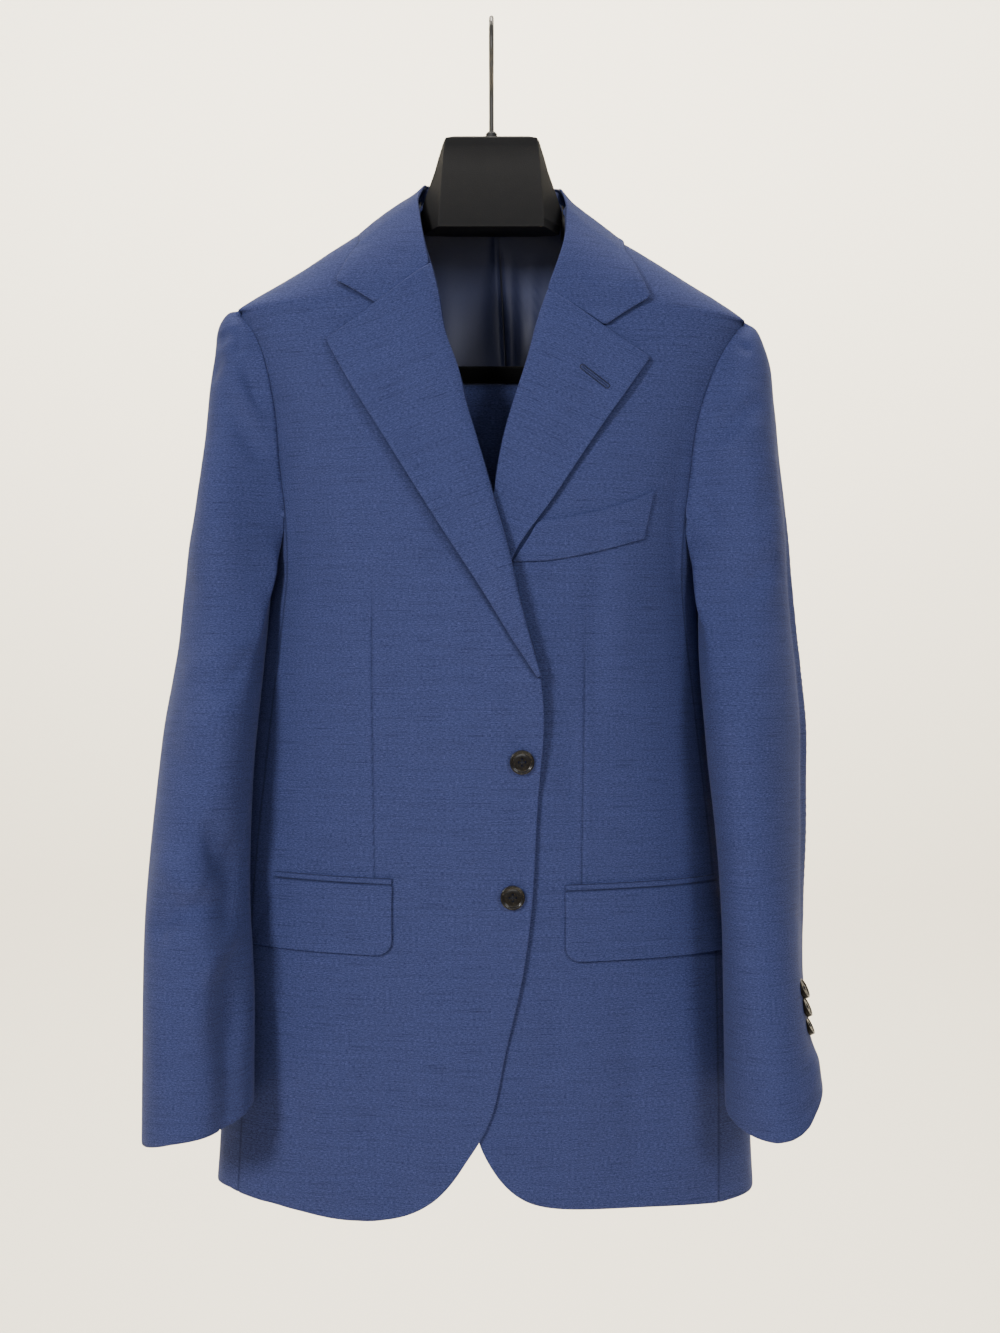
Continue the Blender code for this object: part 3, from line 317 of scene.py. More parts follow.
def pair_triangles(shape, fold=72):
    """Joins a CAD node's triangles in pairs, back into the rows of quads that the panel was lofted from."""
    mates = {}

    def joinable(edge):
        return len(edge.link_faces) == 2 and edge.calc_face_angle(0) < math.radians(fold)

    def misfit(edge):
        (one, other), (start, end) = edge.link_faces, edge.verts
        ring = [start.co, next(v for v in one.verts if v not in edge.verts).co,
                end.co, next(v for v in other.verts if v not in edge.verts).co]
        sides = [(ring[i] - ring[i - 1]).normalized() for i in range(4)]
        return max(abs(sides[i].dot(sides[i - 1])) for i in range(4)) + edge.calc_face_angle(0)

    ranked = sorted((misfit(edge), edge.index, edge) for edge in shape.edges if joinable(edge))
    for _, _, edge in ranked:
        one, other = edge.link_faces
        if one not in mates and other not in mates:
            mates[one], mates[other] = (other, edge), (one, edge)
    for first in [face for face in shape.faces if face not in mates] * 3:
        if first in mates:
            continue
        before, queue, end = {first: None}, [first], None
        while queue and end is None:
            here = queue.pop(0)
            for edge in filter(joinable, here.edges):
                there = edge.link_faces[0] if edge.link_faces[1] is here else edge.link_faces[1]
                if there in before:
                    continue
                if there not in mates:
                    before[there] = (here, edge)
                    end = there
                    break
                beyond = mates[there][0]
                if beyond not in before:
                    before[there], before[beyond] = (here, edge), (there, mates[there][1])
                    queue.append(beyond)
        while end is not None:
            here, edge = before[end]
            step = before[here]
            mates[end], mates[here] = (here, edge), (end, edge)
            end = step[0] if step else None
    bmesh.ops.dissolve_edges(shape, edges=list({edge for _, edge in mates.values()}), use_verts=False)


def round_the_axis(points, axis):
    """Angle of each point round the axis, 0 at the front and + towards the wearer's left, and the level
    outward direction there. The axis is X and Y of the middle, each a value or a value for each point."""
    middle_x, middle_y, half, deep = axis
    across, back = (points[:, 0] - middle_x) / half, (points[:, 1] - middle_y) / deep
    outward = np.stack([across / half, back / deep, np.zeros(len(points))], axis=1)
    outward /= np.maximum(np.linalg.norm(outward, axis=1), 1e-9)[:, None]
    return np.arctan2(across, -back), outward


def lay_out(piece, axis, facing=0.0, grain=0.0):
    """The cloth map: metres along the weft, round the garment from the facing side, and metres down the
    warp; grain turns both, in degrees, for a piece that is cut on another grain."""
    points = points_of(piece)
    angle, _ = round_the_axis(points, axis)
    angle = (angle - math.radians(facing) + math.pi) % (2 * math.pi) - math.pi
    steps = np.radians(np.arange(-180, 181))
    half, deep = axis[2], axis[3]
    round_here = steps + math.radians(facing)
    length = np.cumsum(np.hypot(half * np.cos(round_here), deep * np.sin(round_here))) * math.radians(1)
    across, down = np.interp(angle, steps, length - length[180]), points[:, 2]
    turn = math.radians(grain)
    flat = np.stack([across * math.cos(turn) + down * math.sin(turn),
                     down * math.cos(turn) - across * math.sin(turn)], axis=1)
    loops = np.empty(len(piece.data.loops), dtype=np.int32)
    piece.data.loops.foreach_get("vertex_index", loops)
    layer = piece.data.uv_layers.new(name="cloth")
    layer.uv.foreach_set("vector", flat[loops].ravel())


def nearest_on(line, here):
    """How far each point lies from a line, and where along it the nearest spot is, 0 to 1."""
    lengths = np.linalg.norm(np.diff(line, axis=0), axis=1)
    far, where = np.full(len(here), 9.0), np.zeros(len(here))
    for i, (start, end) in enumerate(zip(line[:-1], line[1:])):
        share = np.clip((here - start) @ (end - start) / lengths[i] ** 2, 0, 1)
        gap = np.linalg.norm(here - start - share[:, None] * (end - start), axis=1)
        closer = gap < far
        far[closer] = gap[closer]
        where[closer] = (lengths[:i].sum() + share[closer] * lengths[i]) / lengths.sum()
    return far, where


def creased(points, axis, creases):
    """How far each point moves outwards for the creases that lie on it, in metres. A crease is: the side
    that it faces in degrees, its half width and height in mm (a trough is below 0), and the points of its
    line, (across, Z) in mm, seen from that side."""
    _, outward = round_the_axis(points, axis)
    moved = np.zeros(len(points))
    for facing, width, height, *line in creases:
        turn = math.radians(facing)
        here = np.stack([points[:, 0] * math.cos(turn) + points[:, 1] * math.sin(turn), points[:, 2]], axis=1)
        far, where = nearest_on(np.array(line) * MM, here)
        ends = np.sin(np.pi * np.clip(where, 0.0, 1.0)) ** 0.7
        seen = np.clip((outward @ np.array([math.sin(turn), -math.cos(turn), 0]) - 0.05) / 0.45, 0, 1)
        moved += height * MM * np.exp(-(far / (width * MM)) ** 2) * ends * eased(seen)
    return moved


def search_tree(pieces):
    """One search tree over the faces of these pieces."""
    corners, faces = [], []
    for piece in pieces:
        faces += [[index + len(corners) for index in face.vertices] for face in piece.data.polygons]
        corners += points_of(piece).tolist()
    return BVHTree.FromPolygons(corners, faces)


def forms_of(names):
    """The search tree of these CAD nodes."""
    return search_tree([nodes[name] for name in names])


def finished(names):
    """The search tree of the finished pieces that stand for these nodes."""
    return search_tree([bpy.data.objects[name + "_made"] for name in names])


def crease(piece, axis, creases, beside=None, strength=1.0):
    """Moves both faces of the wall together, level and outwards, so the cloth keeps its thickness. The
    creases fade out towards the forms beside it, so seams stay closed."""
    points = points_of(piece)
    _, outward = round_the_axis(points, axis)
    moved = creased(points, axis, creases) * strength
    if beside:
        for i in np.nonzero(np.abs(moved) > 0.02 * MM)[0]:
            gap = beside.find_nearest(Vector(points[i]), FADE)[3]
            if gap is not None:
                moved[i] *= eased(max(0.0, (gap - SEAM_STILL) / (FADE - SEAM_STILL)))
    move_points(piece, points + outward * moved[:, None])


def cloth_copy(name, fold=72, rim=50, sharp=WALL_ROUND, steps=SMOOTHING):
    """A panel as cloth: the CAD node's wall, smoothed, with its cut edges softly rounded. Smoothing pulls a
    wall in, so its points are first moved out, in a few passes, until it ends up where the node's wall is."""
    piece = copy_of(name)
    shape = bmesh.new()
    shape.from_mesh(piece.data)
    pair_triangles(shape, fold)
    bmesh.ops.recalc_face_normals(shape, faces=shape.faces)
    creases = shape.edges.layers.float.new("crease_edge")
    for edge in shape.edges:
        if edge.calc_face_angle(0) > math.radians(rim):
            edge[creases] = sharp
        edge.smooth = True
    for face in shape.faces:
        face.smooth = True
    shape.to_mesh(piece.data)
    shape.free()
    wanted = points_of(piece)
    only(piece)
    smoothing = piece.modifiers.new("smoothing", "SUBSURF")
    smoothing.levels = smoothing.render_levels = steps
    for _ in range(PASSES):
        smoothed = piece.evaluated_get(bpy.context.evaluated_depsgraph_get())
        reached = points_of(smoothed)[:len(wanted)]
        move_points(piece, points_of(piece) + wanted - reached)
    bpy.ops.object.modifier_apply(modifier=smoothing.name)
    return piece


woven_cloth, group_in, group_out = new_group("woven_cloth",
    [("Cloth", "Vector"), ("Threads", "Float", 900.0)],
    [("Height", "Float"), ("Fleck", "Float"), ("Slub", "Float"), ("Band", "Float")])


def thread_noise(across, down, detail, scale_socket=None):
    """Noise drawn out by different amounts along the weft and the warp."""
    drawn = add(woven_cloth, "ShaderNodeMapping", {"Scale": (across, down, 1)},
                {"Vector": group_in.outputs["Cloth"]}).outputs["Vector"]
    node = add(woven_cloth, "ShaderNodeTexNoise", {"Scale": 1.0, "Detail": detail, "Roughness": 0.55},
               {"Vector": drawn})
    if scale_socket is not None:
        woven_cloth.links.new(scale_socket, node.inputs["Scale"])
    return node.outputs["Fac"]


weft_threads = thread_noise(0.30, 1.0, 1.0, group_in.outputs["Threads"])
warp_threads = thread_noise(1.0, 0.30, 1.0, group_in.outputs["Threads"])
threads = add(woven_cloth, "ShaderNodeMath", None, {0: weft_threads, 1: warp_threads}, operation="MAXIMUM")
woven_cloth.links.new(threads.outputs[0], group_out.inputs["Height"])
fleck = thread_noise(0.8, 1.0, 2.0, group_in.outputs["Threads"])
both = add(woven_cloth, "ShaderNodeMath", None, {0: weft_threads, 1: fleck}, operation="ADD")
woven_cloth.links.new(add(woven_cloth, "ShaderNodeMath", {1: 0.5}, {0: both.outputs[0]},
                          operation="MULTIPLY").outputs[0], group_out.inputs["Fleck"])
slub = add(woven_cloth, "ShaderNodeMapRange", {"From Min": 0.40, "From Max": 0.27},
           {"Value": thread_noise(36, 1500, 1.0)})
woven_cloth.links.new(slub.outputs["Result"], group_out.inputs["Slub"])
woven_cloth.links.new(thread_noise(14, 460, 2.5), group_out.inputs["Band"])


def follow(tree, shader, pattern, low, high):
    """Roughness that follows a pattern, from one value where it is 0 to another where it is 1."""
    spread = add(tree, "ShaderNodeMapRange", {"To Min": low, "To Max": high}, {"Value": pattern})
    tree.links.new(spread.outputs["Result"], shader.inputs["Roughness"])


# the suiting: a melange of dark and light blue yarns, with dark uneven yarns across it, and a soft bloom
WOOL_DARK = (0.030, 0.0385, 0.118, 1)
WOOL_LIGHT = (0.082, 0.103, 0.285, 1)
WOOL_SLUB = (0.020, 0.026, 0.076, 1)
WOOL_PAINTED_SHADE = (0.012, 0.016, 0.050, 1)      # painted shade: the colour down in seams, dart grooves and pleats, and beside edges that lie over the cloth
SLUB_SHOWS = 0.6
wool, tree, shader = new_finish("blue_wool_cloth", Specular_IOR_Level=0.2, Sheen_Weight=0.07,
                                Sheen_Roughness=0.45, Sheen_Tint=(0.62, 0.72, 1.0, 1))
cloth = add(tree, "ShaderNodeUVMap", uv_map="cloth").outputs["UV"]
weave = place_group(tree, woven_cloth, {"Threads": 1500.0}, {"Cloth": cloth})
spread = add(tree, "ShaderNodeMapRange", {"From Min": 0.36, "From Max": 0.64},
             {"Value": weave.outputs["Fleck"]})
melange = mix_colour(tree, spread.outputs["Result"], WOOL_DARK, WOOL_LIGHT)
shown = add(tree, "ShaderNodeMath", {1: SLUB_SHOWS}, {0: weave.outputs["Slub"]}, operation="MULTIPLY")
melange = mix_colour(tree, shown.outputs[0], melange, WOOL_SLUB)
band = add(tree, "ShaderNodeMapRange", {"From Min": 0.3, "From Max": 0.7, "To Min": 0.93, "To Max": 1.07},
           {"Value": weave.outputs["Band"]})
melange = mix_colour(tree, 1.0, melange, band.outputs["Result"], "MULTIPLY")
# painted shade: a point attribute darkens the cloth along seams and dart grooves, and where lapels, collar and flaps
# lie over it
sewn = add(tree, "ShaderNodeAttribute", attribute_name="sewn").outputs["Fac"]
tree.links.new(mix_colour(tree, sewn, melange, WOOL_PAINTED_SHADE), shader.inputs["Base Color"])
follow(tree, shader, weave.outputs["Fleck"], 0.92, 0.78)
add_relief(tree, shader, 0.5, 0.0003, weave.outputs["Height"])

# the legs: a slack fold or two each, and the knees' bulge
TROUSER_AXIS = (0.0, 0.02, 0.15, 0.03)
LEG_CREASES = {LEFT: ((0, 1.4, -0.6, (-17, -296), (-17.5, -360), (-17, -430)),
                      (0, 26, -1.1, (-60, -420), (-20, -520), (0, -640)),
                      (0, 15, 0.8, (70, -380), (60, -560))),
               RIGHT: ((180, 30, -1.2, (60, -430), (20, -560), (30, -700)),
                       (180, 16, 0.9, (-70, -420), (-50, -640)))}
for side, leg_name in ((LEFT, "trouser_leg_left"), (RIGHT, "trouser_leg_right")):
    leg = cloth_copy(leg_name)
    crease(leg, TROUSER_AXIS, LEG_CREASES[side])
    lay_out(leg, TROUSER_AXIS, 0)
    stands_for(leg, wool, "blue_wool", leg_name)

waistband = cloth_copy("waistband")
lay_out(waistband, TROUSER_AXIS, 180)
stands_for(waistband, wool, "blue_wool", "waistband")


# ---- jacket body ----
# Fronts, side panels and backs are wool over canvas, sewn edge to edge. The cloth hangs almost flat, with a
# soft fold above each front dart, slack drags towards the button, and long rolls at the hem.
BODY_CREASES = (
    # the wearer's right front: the fold into its dart, the hollow before the armhole, the drags, the hem
    (0, 9, -1.7, (-101, -352), (-96, -410), (-90.5, -450), (-88, -492), (-88, -548)),
    (0, 14, 1.3, (-113, -375), (-108, -430), (-103, -492), (-104, -540)),
    (0, 20, -1.6, (-143, -296), (-136, -352), (-139, -420), (-143, -470)),
    (0, 11, 0.9, (-66, -470), (-60, -540), (-64, -610)),
    (0, 5, -0.7, (16, -531), (-12, -508), (-44, -493)),
    (0, 7, -0.6, (9, -588), (-26, -577), (-68, -581)),
    (0, 9, 0.6, (4, -566), (-28, -556), (-60, -559)),
    (0, 15, -1.8, (-75, -735), (-76, -796), (-79, -848), (-82, -915)),
    (0, 22, 2.2, (-121, -760), (-125, -820), (-128, -905)),
    (0, 16, 1.3, (-37, -745), (-40, -810), (-49, -893)),
    (0, 9, -1.0, (-150, -800), (-140, -860), (-136, -905)),
    # the wearer's left front
    (0, 9, -1.2, (86, -392), (79, -440), (76, -500), (75, -560)),
    (0, 13, 1.0, (101, -400), (97, -470), (98, -530)),
    (0, 18, -1.4, (150, -310), (141, -362), (137, -415), (141, -480)),
    (0, 8, -0.9, (54, -520), (60, -585), (62, -655)),
    (0, 15, 1.3, (76, -745), (74, -811), (72, -880)),
    (0, 12, -1.3, (103, -740), (106, -812), (110, -905)),
    (0, 18, 1.6, (146, -735), (150, -815), (152, -900)),
    (0, 7, -0.7, (46, -752), (36, -800), (30, -868)),
    # the sides, under the arms
    (90, 12, -1.8, (-34, -420), (-29, -500), (-32, -610), (-30, -700)),
    (90, 17, 1.2, (2, -560), (4, -680), (1, -860)),
    (-90, 13, -1.8, (34, -410), (30, -480), (33, -590), (29, -690)),
    (-90, 17, 1.2, (-4, -600), (0, -720), (-5, -880)),
    # the back, from the shoulder blades down
    (180, 22, -2.2, (-118, -238), (-106, -330), (-112, -440), (-120, -520)),
    (180, 18, -1.8, (121, -232), (112, -310), (104, -400), (110, -485)),
    (180, 30, 1.8, (-60, -250), (-66, -360), (-58, -500)),
    (180, 26, 1.4, (64, -260), (58, -350), (62, -470)),
    (180, 13, -1.3, (-34, -545), (-42, -640), (-38, -790)),
    (180, 19, 1.9, (-78, -600), (-84, -720), (-80, -890)),
    (180, 14, -1.6, (-118, -640), (-122, -760), (-126, -895)),
    (180, 16, -1.4, (52, -590), (60, -700), (56, -880)),
    (180, 21, 2.1, (96, -560), (101, -700), (104, -895)),
    (180, 12, -1.1, (136, -660), (140, -770), (137, -890)),
    (180, 6, -0.8, (-44, -186), (-10, -197), (34, -184)),
    (180, 7, -0.6, (-62, -212), (-14, -226), (20, -220)))
# where the jacket's sides spread behind the sleeves
SIDE_SPREAD = ((-90, 10, 6.0, (-18, -400), (-15, -450), (-13, -505)),
               (-90, 15, 8.0, (-10, -440), (-8, -530), (-8, -600), (-5, -730)),
               (-90, 26, 8.0, (26, -440), (26, -530), (26, -620), (20, -760)),
               (90, 10, 4.0, (16, -410), (14, -460), (12, -520)),
               (90, 14, 5.5, (10, -440), (9, -520), (9, -600), (7, -720)),
               (90, 22, 3.5, (-26, -450), (-26, -540), (-26, -620), (-22, -740)))
# the front darts, sewn and pressed flat: a fine groove with a slight roll on each side
DARTS = ((0, 0.8, -1.1, (-88.4, -442), (-87.8, -540), (-85.8, -676)),
         (0, 3.4, 0.5, (-84.2, -452), (-83.4, -545), (-81.8, -668)),
         (0, 0.8, -0.8, (69.6, -478), (68.4, -560), (66.6, -676)),
         (0, 3.2, 0.4, (73.6, -486), (72.2, -560), (70.6, -672)))
# the wearer's right front rolls forwards along its edge, above and below the upper button
FRONT_ROLL = ((0, 13, 6.5, (-8, -368), (6, -410), (17, -448), (27, -488), (35, -520), (38, -556), (37, -596)),
              (0, 9, 1.8, (38, -556), (35, -610), (31, -670), (25, -730), (14, -780)))
# the edges of the lapels and of the collar stand off the fronts
ROLLED_OFF = ((0, 20, 7.5, (-134, -252), (-114, -276), (-88, -328), (-61, -370), (-36, -410), (2, -470)),
              (0, 17, 5.0, (130, -258), (112, -284), (92, -330), (74, -366), (52, -398), (24, -440)),
              (0, 10, 2.2, (-98, -182), (-105, -196), (-113, -214), (-118, -228), (-102, -242)),
              (0, 10, 2.2, (100, -184), (107, -200), (114, -218), (118, -236), (102, -248)))
# the right hem hangs a little lower than its cutting line between the side and the corner: X and drop, in mm
HEM_DROPS = ((-200, 0), (-184, 2.4), (-173, 3.7), (-152, 3.7), (-141, 3.0), (-120, 2.2), (-99, 0.9),
             (-79, 0.9), (-58, 2.2), (-40, 3.1), (-24, 2.8), (-14, 1.2), (-5, 0))
# the cut of each panel, opened flat: width and length in metres, and area in square metres
PANELS = {"front_right": (0.335, 0.785, 0.152), "front_left": (0.300, 0.780, 0.134),
          "side_right": (0.105, 0.535, 0.0425), "side_left": (0.100, 0.535, 0.0415),
          "back_right": (0.232, 0.770, 0.138), "back_left": (0.234, 0.770, 0.139)}
BODY_DEPTH = 1.4                 # how much deeper than drawn the creases of the body are pressed
LAPEL_PAINTED_SHADOW = (3.2 * MM, 0.62)   # how far round the lapels and collar a front has painted shadow, and how dark
PANEL_SEAM_SHADE = (1.1 * MM, 0.6)     # painted shade the same way beside the next panel
HEM_LEVEL = (-0.845, 0.05)       # a hem moves below this height, and fully this much lower


def dress(piece, finish, slot, name):
    """A cloth piece stands for its node."""
    stands_for(piece, finish, slot, name)


def finer_along(piece, creases, reach=6 * MM, cuts=3):
    """Cuts the faces along these lines finer, so that a fine groove can be pressed into them."""
    middles = np.array([face.center for face in piece.data.polygons])[:, ::2]
    near = np.zeros(len(middles), dtype=bool)
    for _, _, _, *line in creases:
        near |= nearest_on(np.array(line) * MM, middles)[0] < reach
    shape = bmesh.new()
    shape.from_mesh(piece.data)
    edges = {edge for face in shape.faces if near[face.index] for edge in face.edges}
    bmesh.ops.subdivide_edges(shape, edges=list(edges), cuts=cuts, use_grid_fill=True)
    for face in shape.faces:
        face.smooth = True
    shape.to_mesh(piece.data)
    shape.free()


def add_painted_shade(piece, shade_amounts):
    """Raises each point's painted shade, 0 to 1, which darkens the cloth's tone."""
    layer = piece.data.attributes.get("sewn") or piece.data.attributes.new("sewn", "FLOAT", "POINT")
    before = np.zeros(len(shade_amounts))
    layer.data.foreach_get("value", before)
    layer.data.foreach_set("value", np.maximum(before, shade_amounts))


def mark_sewn(piece, creases, half=0.55 * MM, most=0.6):
    """Paints shade on the points down in these grooves, less towards the top of each."""
    points = points_of(piece)
    _, outward = round_the_axis(points, CLOTH_AXIS)
    shade_amounts = np.zeros(len(points))
    for facing, _, height, *line in creases:
        if height < 0:
            line = np.array(line) * MM
            far, _ = nearest_on(line, points[:, ::2])
            from_top = np.clip((line[:, 1].max() - points[:, 2]) / 0.03, 0.25, 1)
            faces_there = outward[:, 1] * math.cos(math.radians(facing)) < -0.3
            shade_amounts = np.maximum(shade_amounts, most * np.exp(-(far / half) ** 2) * from_top * faces_there)
    add_painted_shade(piece, shade_amounts)


def paint_seam_shade(piece, forms, reach=1.3 * MM, most=0.7):
    """Paints shade on a piece's points right beside these forms, where a seam joins them or their edges lie over it.
    """
    gaps = [forms.find_nearest(Vector(point), reach)[3] for point in points_of(piece)]
    add_painted_shade(piece, np.array([0.0 if gap is None else most * (1 - gap / reach) ** 0.5 for gap in gaps]))


def hang_lower(piece, level, drops, front_only=True):
    """Lowers a piece's points under a level, (height, span) in metres, by a table of X and drop in mm."""
    points = points_of(piece)
    share = np.clip((level[0] - points[:, 2]) / level[1], 0, 1)
    moved = np.interp(points[:, 0] / MM, *zip(*drops)) * MM * eased(share)
    points[:, 2] -= np.where(points[:, 1] < 0, moved, 0) if front_only else moved
    move_points(piece, points)


sleeve_forms = forms_of(("topsleeve_right", "topsleeve_left", "undersleeve_right", "undersleeve_left"))
for panel_name, cut in PANELS.items():
    panel = cloth_copy(panel_name)
    if panel_name.startswith("front"):
        finer_along(panel, DARTS)
        finer_along(panel, ROLLED_OFF, cuts=1)
        # painted shadow on the front beside the lapel's and collar's edges
        paint_seam_shade(panel, forms_of(["lapel" + panel_name[5:], "collar"]), *LAPEL_PAINTED_SHADOW)
    # painted shade along the seams to the other panels
    paint_seam_shade(panel, forms_of([name for name in PANELS if name != panel_name]), *PANEL_SEAM_SHADE)
    lay_out(panel, CLOTH_AXIS, 180 if panel_name.startswith("back") else 0)
    crease(panel, CLOTH_AXIS, BODY_CREASES, sleeve_forms, BODY_DEPTH)
    crease(panel, CLOTH_AXIS, SIDE_SPREAD)
    if panel_name.startswith("front"):
        crease(panel, CLOTH_AXIS, DARTS)
        # painted shade down in the dart grooves
        mark_sewn(panel, DARTS)
    if panel_name == "front_right":
        crease(panel, CLOTH_AXIS, FRONT_ROLL)
    if not panel_name.startswith("side"):
        press_down(panel, SHOULDER_DROPS)
    if panel_name in ("front_right", "side_right"):
        hang_lower(panel, HEM_LEVEL, HEM_DROPS)
    dress(panel, wool, "blue_wool", panel_name)


# ---- sleeves ----
# Each sleeve is a topsleeve and an undersleeve, set into the armhole with its fullness eased in, so that the
# head is round and dimpled under the seam. The sleeves bend forwards, with folds at the elbow and forearm.
# how far the heads sit lower than their cutting lines, and the cuffs' corners higher: X and drop in mm
HEAD_DROPS = ((-215, 5.0), (-209, 4.2), (-200, 2.3), (-185, 2.0), (-150, 1.0), (150, 0.5), (185, 3.0),
              (200, 4.4), (209, 6.5), (215, 7.5))
CUFF_RISE = {LEFT: ((205, 0), (216, -2), (223.4, -4.5), (230, -8), (235, -13.5), (241, -18), (250, -24)),
             RIGHT: ((-250, 0), (-228, -2.0), (-200, -2.0), (-187, -2.8), (-180, -5.5), (-174, -11),
                     (-168, -14))}
# the right forearm bends inwards, so its inner half turns away
FOREARM_TURN = ((0, 15, -8.5, (-192, -630), (-186, -680), (-183, -740), (-182, -800), (-184, -860),
                 (-186, -900)),
                (0, 13, 2.5, (-214, -640), (-209, -700), (-208, -760), (-209, -830), (-210, -900)))
CUFF_LEVEL = (-0.768, 0.055)       # a cuff moves below this height, and fully this much lower
ARMHOLE_FOOT = -392 * MM           # the sleeve is sewn in above this level
SHOULDER_FOOT = -248 * MM          # above this level its edge is drawn up from further away
SHOULDER_REACH = 6.5 * MM
SLEEVE_DEPTH = 1.9                 # how much deeper than drawn the creases of the sleeves are pressed
SLEEVE_DEEP = (0.037, 0.058)       # half width and half depth of a sleeve's level section, for the cloth map
SLEEVE_CREASES = {
    RIGHT: (
        (0, 6, -1.5, (-196, -243), (-192, -256), (-189, -268)), (0, 5, -1.1, (-206, -244), (-203, -259)),
        (0, 6, 1.0, (-200, -250), (-197, -266)), (0, 7, -1.6, (-217, -288), (-211, -275), (-206, -264)),
        (0, 7, -1.6, (-189, -272), (-178, -297), (-172, -312)),
        (0, 8, 1.3, (-198, -280), (-185, -306), (-174, -327)),
        (0, 9, -2.0, (-199, -300), (-184, -330), (-171, -350)),
        (0, 16, 1.8, (-214, -330), (-205, -390), (-196, -450)),
        (0, 14, -1.4, (-240, -430), (-222, -462), (-205, -478)),
        (0, 6, -1.7, (-207, -531), (-190, -513), (-173, -492)),
        (0, 7, 1.7, (-232, -508), (-208, -501), (-177, -485)),
        (0, 9, 1.2, (-228, -545), (-208, -548), (-186, -536)),
        (0, 10, -1.2, (-244, -560), (-222, -582), (-205, -588)),
        (0, 11, -4.2, (-206, -612), (-195, -640), (-182, -668)),
        (0, 12, 2.6, (-244, -640), (-226, -655), (-206, -664)),
        (0, 7, -3.8, (-182, -675), (-204, -677), (-224, -681), (-239, -692), (-242, -708)),
        (0, 9, 3.6, (-183, -690), (-192, -709), (-204, -732)),
        (0, 14, -2.4, (-186, -726), (-190, -762), (-196, -800)),
        (0, 12, 1.2, (-240, -735), (-236, -780), (-238, -830)),
        (0, 15, -1.2, (-215, -760), (-210, -800), (-212, -840)),
        (-90, 16, -0.9, (10, -330), (-4, -400), (6, -470)),
        (-90, 18, 0.8, (30, -360), (28, -450), (44, -520)),
        (-90, 9, -1.1, (20, -520), (2, -538), (-16, -540)),
        (-90, 10, 0.9, (24, -548), (4, -562), (-14, -566)),
        (-90, 8, -1.2, (30, -648), (16, -664), (0, -670)), (-90, 12, 0.9, (40, -700), (46, -760), (52, -820)),
        (180, 8, -2.2, (176, -470), (200, -505), (226, -520)),
        (180, 9, 1.7, (180, -500), (204, -530), (230, -542)),
        (180, 10, -1.8, (184, -600), (206, -622), (236, -630)),
        (180, 14, 1.5, (210, -660), (214, -730), (222, -810))),
    LEFT: (
        (0, 5, -1.5, (179, -256), (190, -260), (199, -266)), (0, 6, 0.9, (184, -248), (194, -251)),
        (0, 6, -1.7, (165, -334), (185, -318), (205, -303)),
        (0, 8, 1.4, (164, -348), (186, -334), (207, -319)),
        (0, 9, 1.2, (168, -318), (184, -304), (200, -290)),
        (0, 5, -1.2, (147, -371), (163, -388), (172, -401)),
        (0, 8, 1.0, (150, -390), (164, -408), (176, -426)),
        (0, 9, -1.3, (211, -352), (206, -382), (201, -408)),
        (0, 8, -1.4, (183, -452), (197, -439), (213, -420)),
        (0, 9, 1.2, (184, -468), (200, -456), (216, -440)),
        (0, 12, -0.9, (176, -505), (196, -520), (218, -522)),
        (0, 10, 0.8, (178, -560), (198, -572), (222, -570)),
        (0, 14, -1.1, (184, -640), (190, -690), (188, -740)),
        (0, 14, 1.1, (212, -660), (214, -730), (218, -800)),
        (35, 3.2, 1.2, (166, -300), (171, -380), (172, -447), (173, -515), (167, -575), (160, -650),
         (157, -730)),
        (35, 3.6, -0.9, (157, -330), (163, -400), (164, -460), (165, -520), (158, -580), (151, -650),
         (149, -720)),
        (90, 15, -0.9, (-14, -320), (-2, -390), (-10, -470)),
        (90, 17, 0.5, (-34, -350), (-30, -440), (-46, -515)),
        (90, 9, -1.1, (-18, -512), (0, -530), (18, -535)), (90, 10, 0.9, (-22, -540), (-2, -554), (16, -560)),
        (90, 9, -1.0, (-24, -640), (-8, -654), (8, -660)),
        (90, 12, 0.6, (-46, -700), (-52, -750), (-56, -815)),
        (180, 8, -2.0, (-176, -465), (-198, -500), (-222, -512)),
        (180, 9, 1.6, (-178, -494), (-202, -526), (-226, -536)),
        (180, 10, -1.6, (-182, -604), (-204, -620), (-232, -634)),
        (180, 14, 1.4, (-206, -660), (-212, -735), (-220, -800)))}
SLEEVES = {"topsleeve_right": (0.235, 0.640, 0.120), "topsleeve_left": (0.230, 0.630, 0.115),
           "undersleeve_right": (0.140, 0.475, 0.043), "undersleeve_left": (0.135, 0.465, 0.042)}


def sleeve_axis(side):
    """X and Y of the middle of a sleeve at each 20 mm of its height, from the frame's own sleeve."""
    word = "right" if side == RIGHT else "left"
    cloud = np.concatenate([points_of(nodes[name + word]) for name in ("topsleeve_", "undersleeve_")])
    levels, middles = [], []
    for low in np.arange(cloud[:, 2].min(), cloud[:, 2].max() - 20 * MM, 20 * MM):
        slab = cloud[np.abs(cloud[:, 2] - low - 10 * MM) < 16 * MM]
        if len(slab) > 3:
            levels.append(low + 10 * MM)
            middles.append((slab.max(axis=0) + slab.min(axis=0))[:2] / 2)
    middles = np.array(middles)
    padded = np.pad(middles, ((2, 2), (0, 0)), mode="edge")
    return np.array(levels), sum(padded[i:len(padded) - 4 + i] for i in range(5)) / 5


def close_seam(piece, neighbours, down_to, reach=3.2 * MM, left=0.12 * MM):
    """Draws the edge of a piece up to the panels it is sewn to, above a level, so that no light shows."""
    points = points_of(piece)
    for i in np.nonzero(points[:, 2] > down_to)[0]:
        spot, _, _, gap = neighbours.find_nearest(Vector(points[i]), reach)
        if spot is not None and gap > left:
            pull = (1 - left / gap) * min(1.0, 2 * (1 - gap / reach))
            points[i] += (np.array(spot) - points[i]) * pull
    move_points(piece, points)


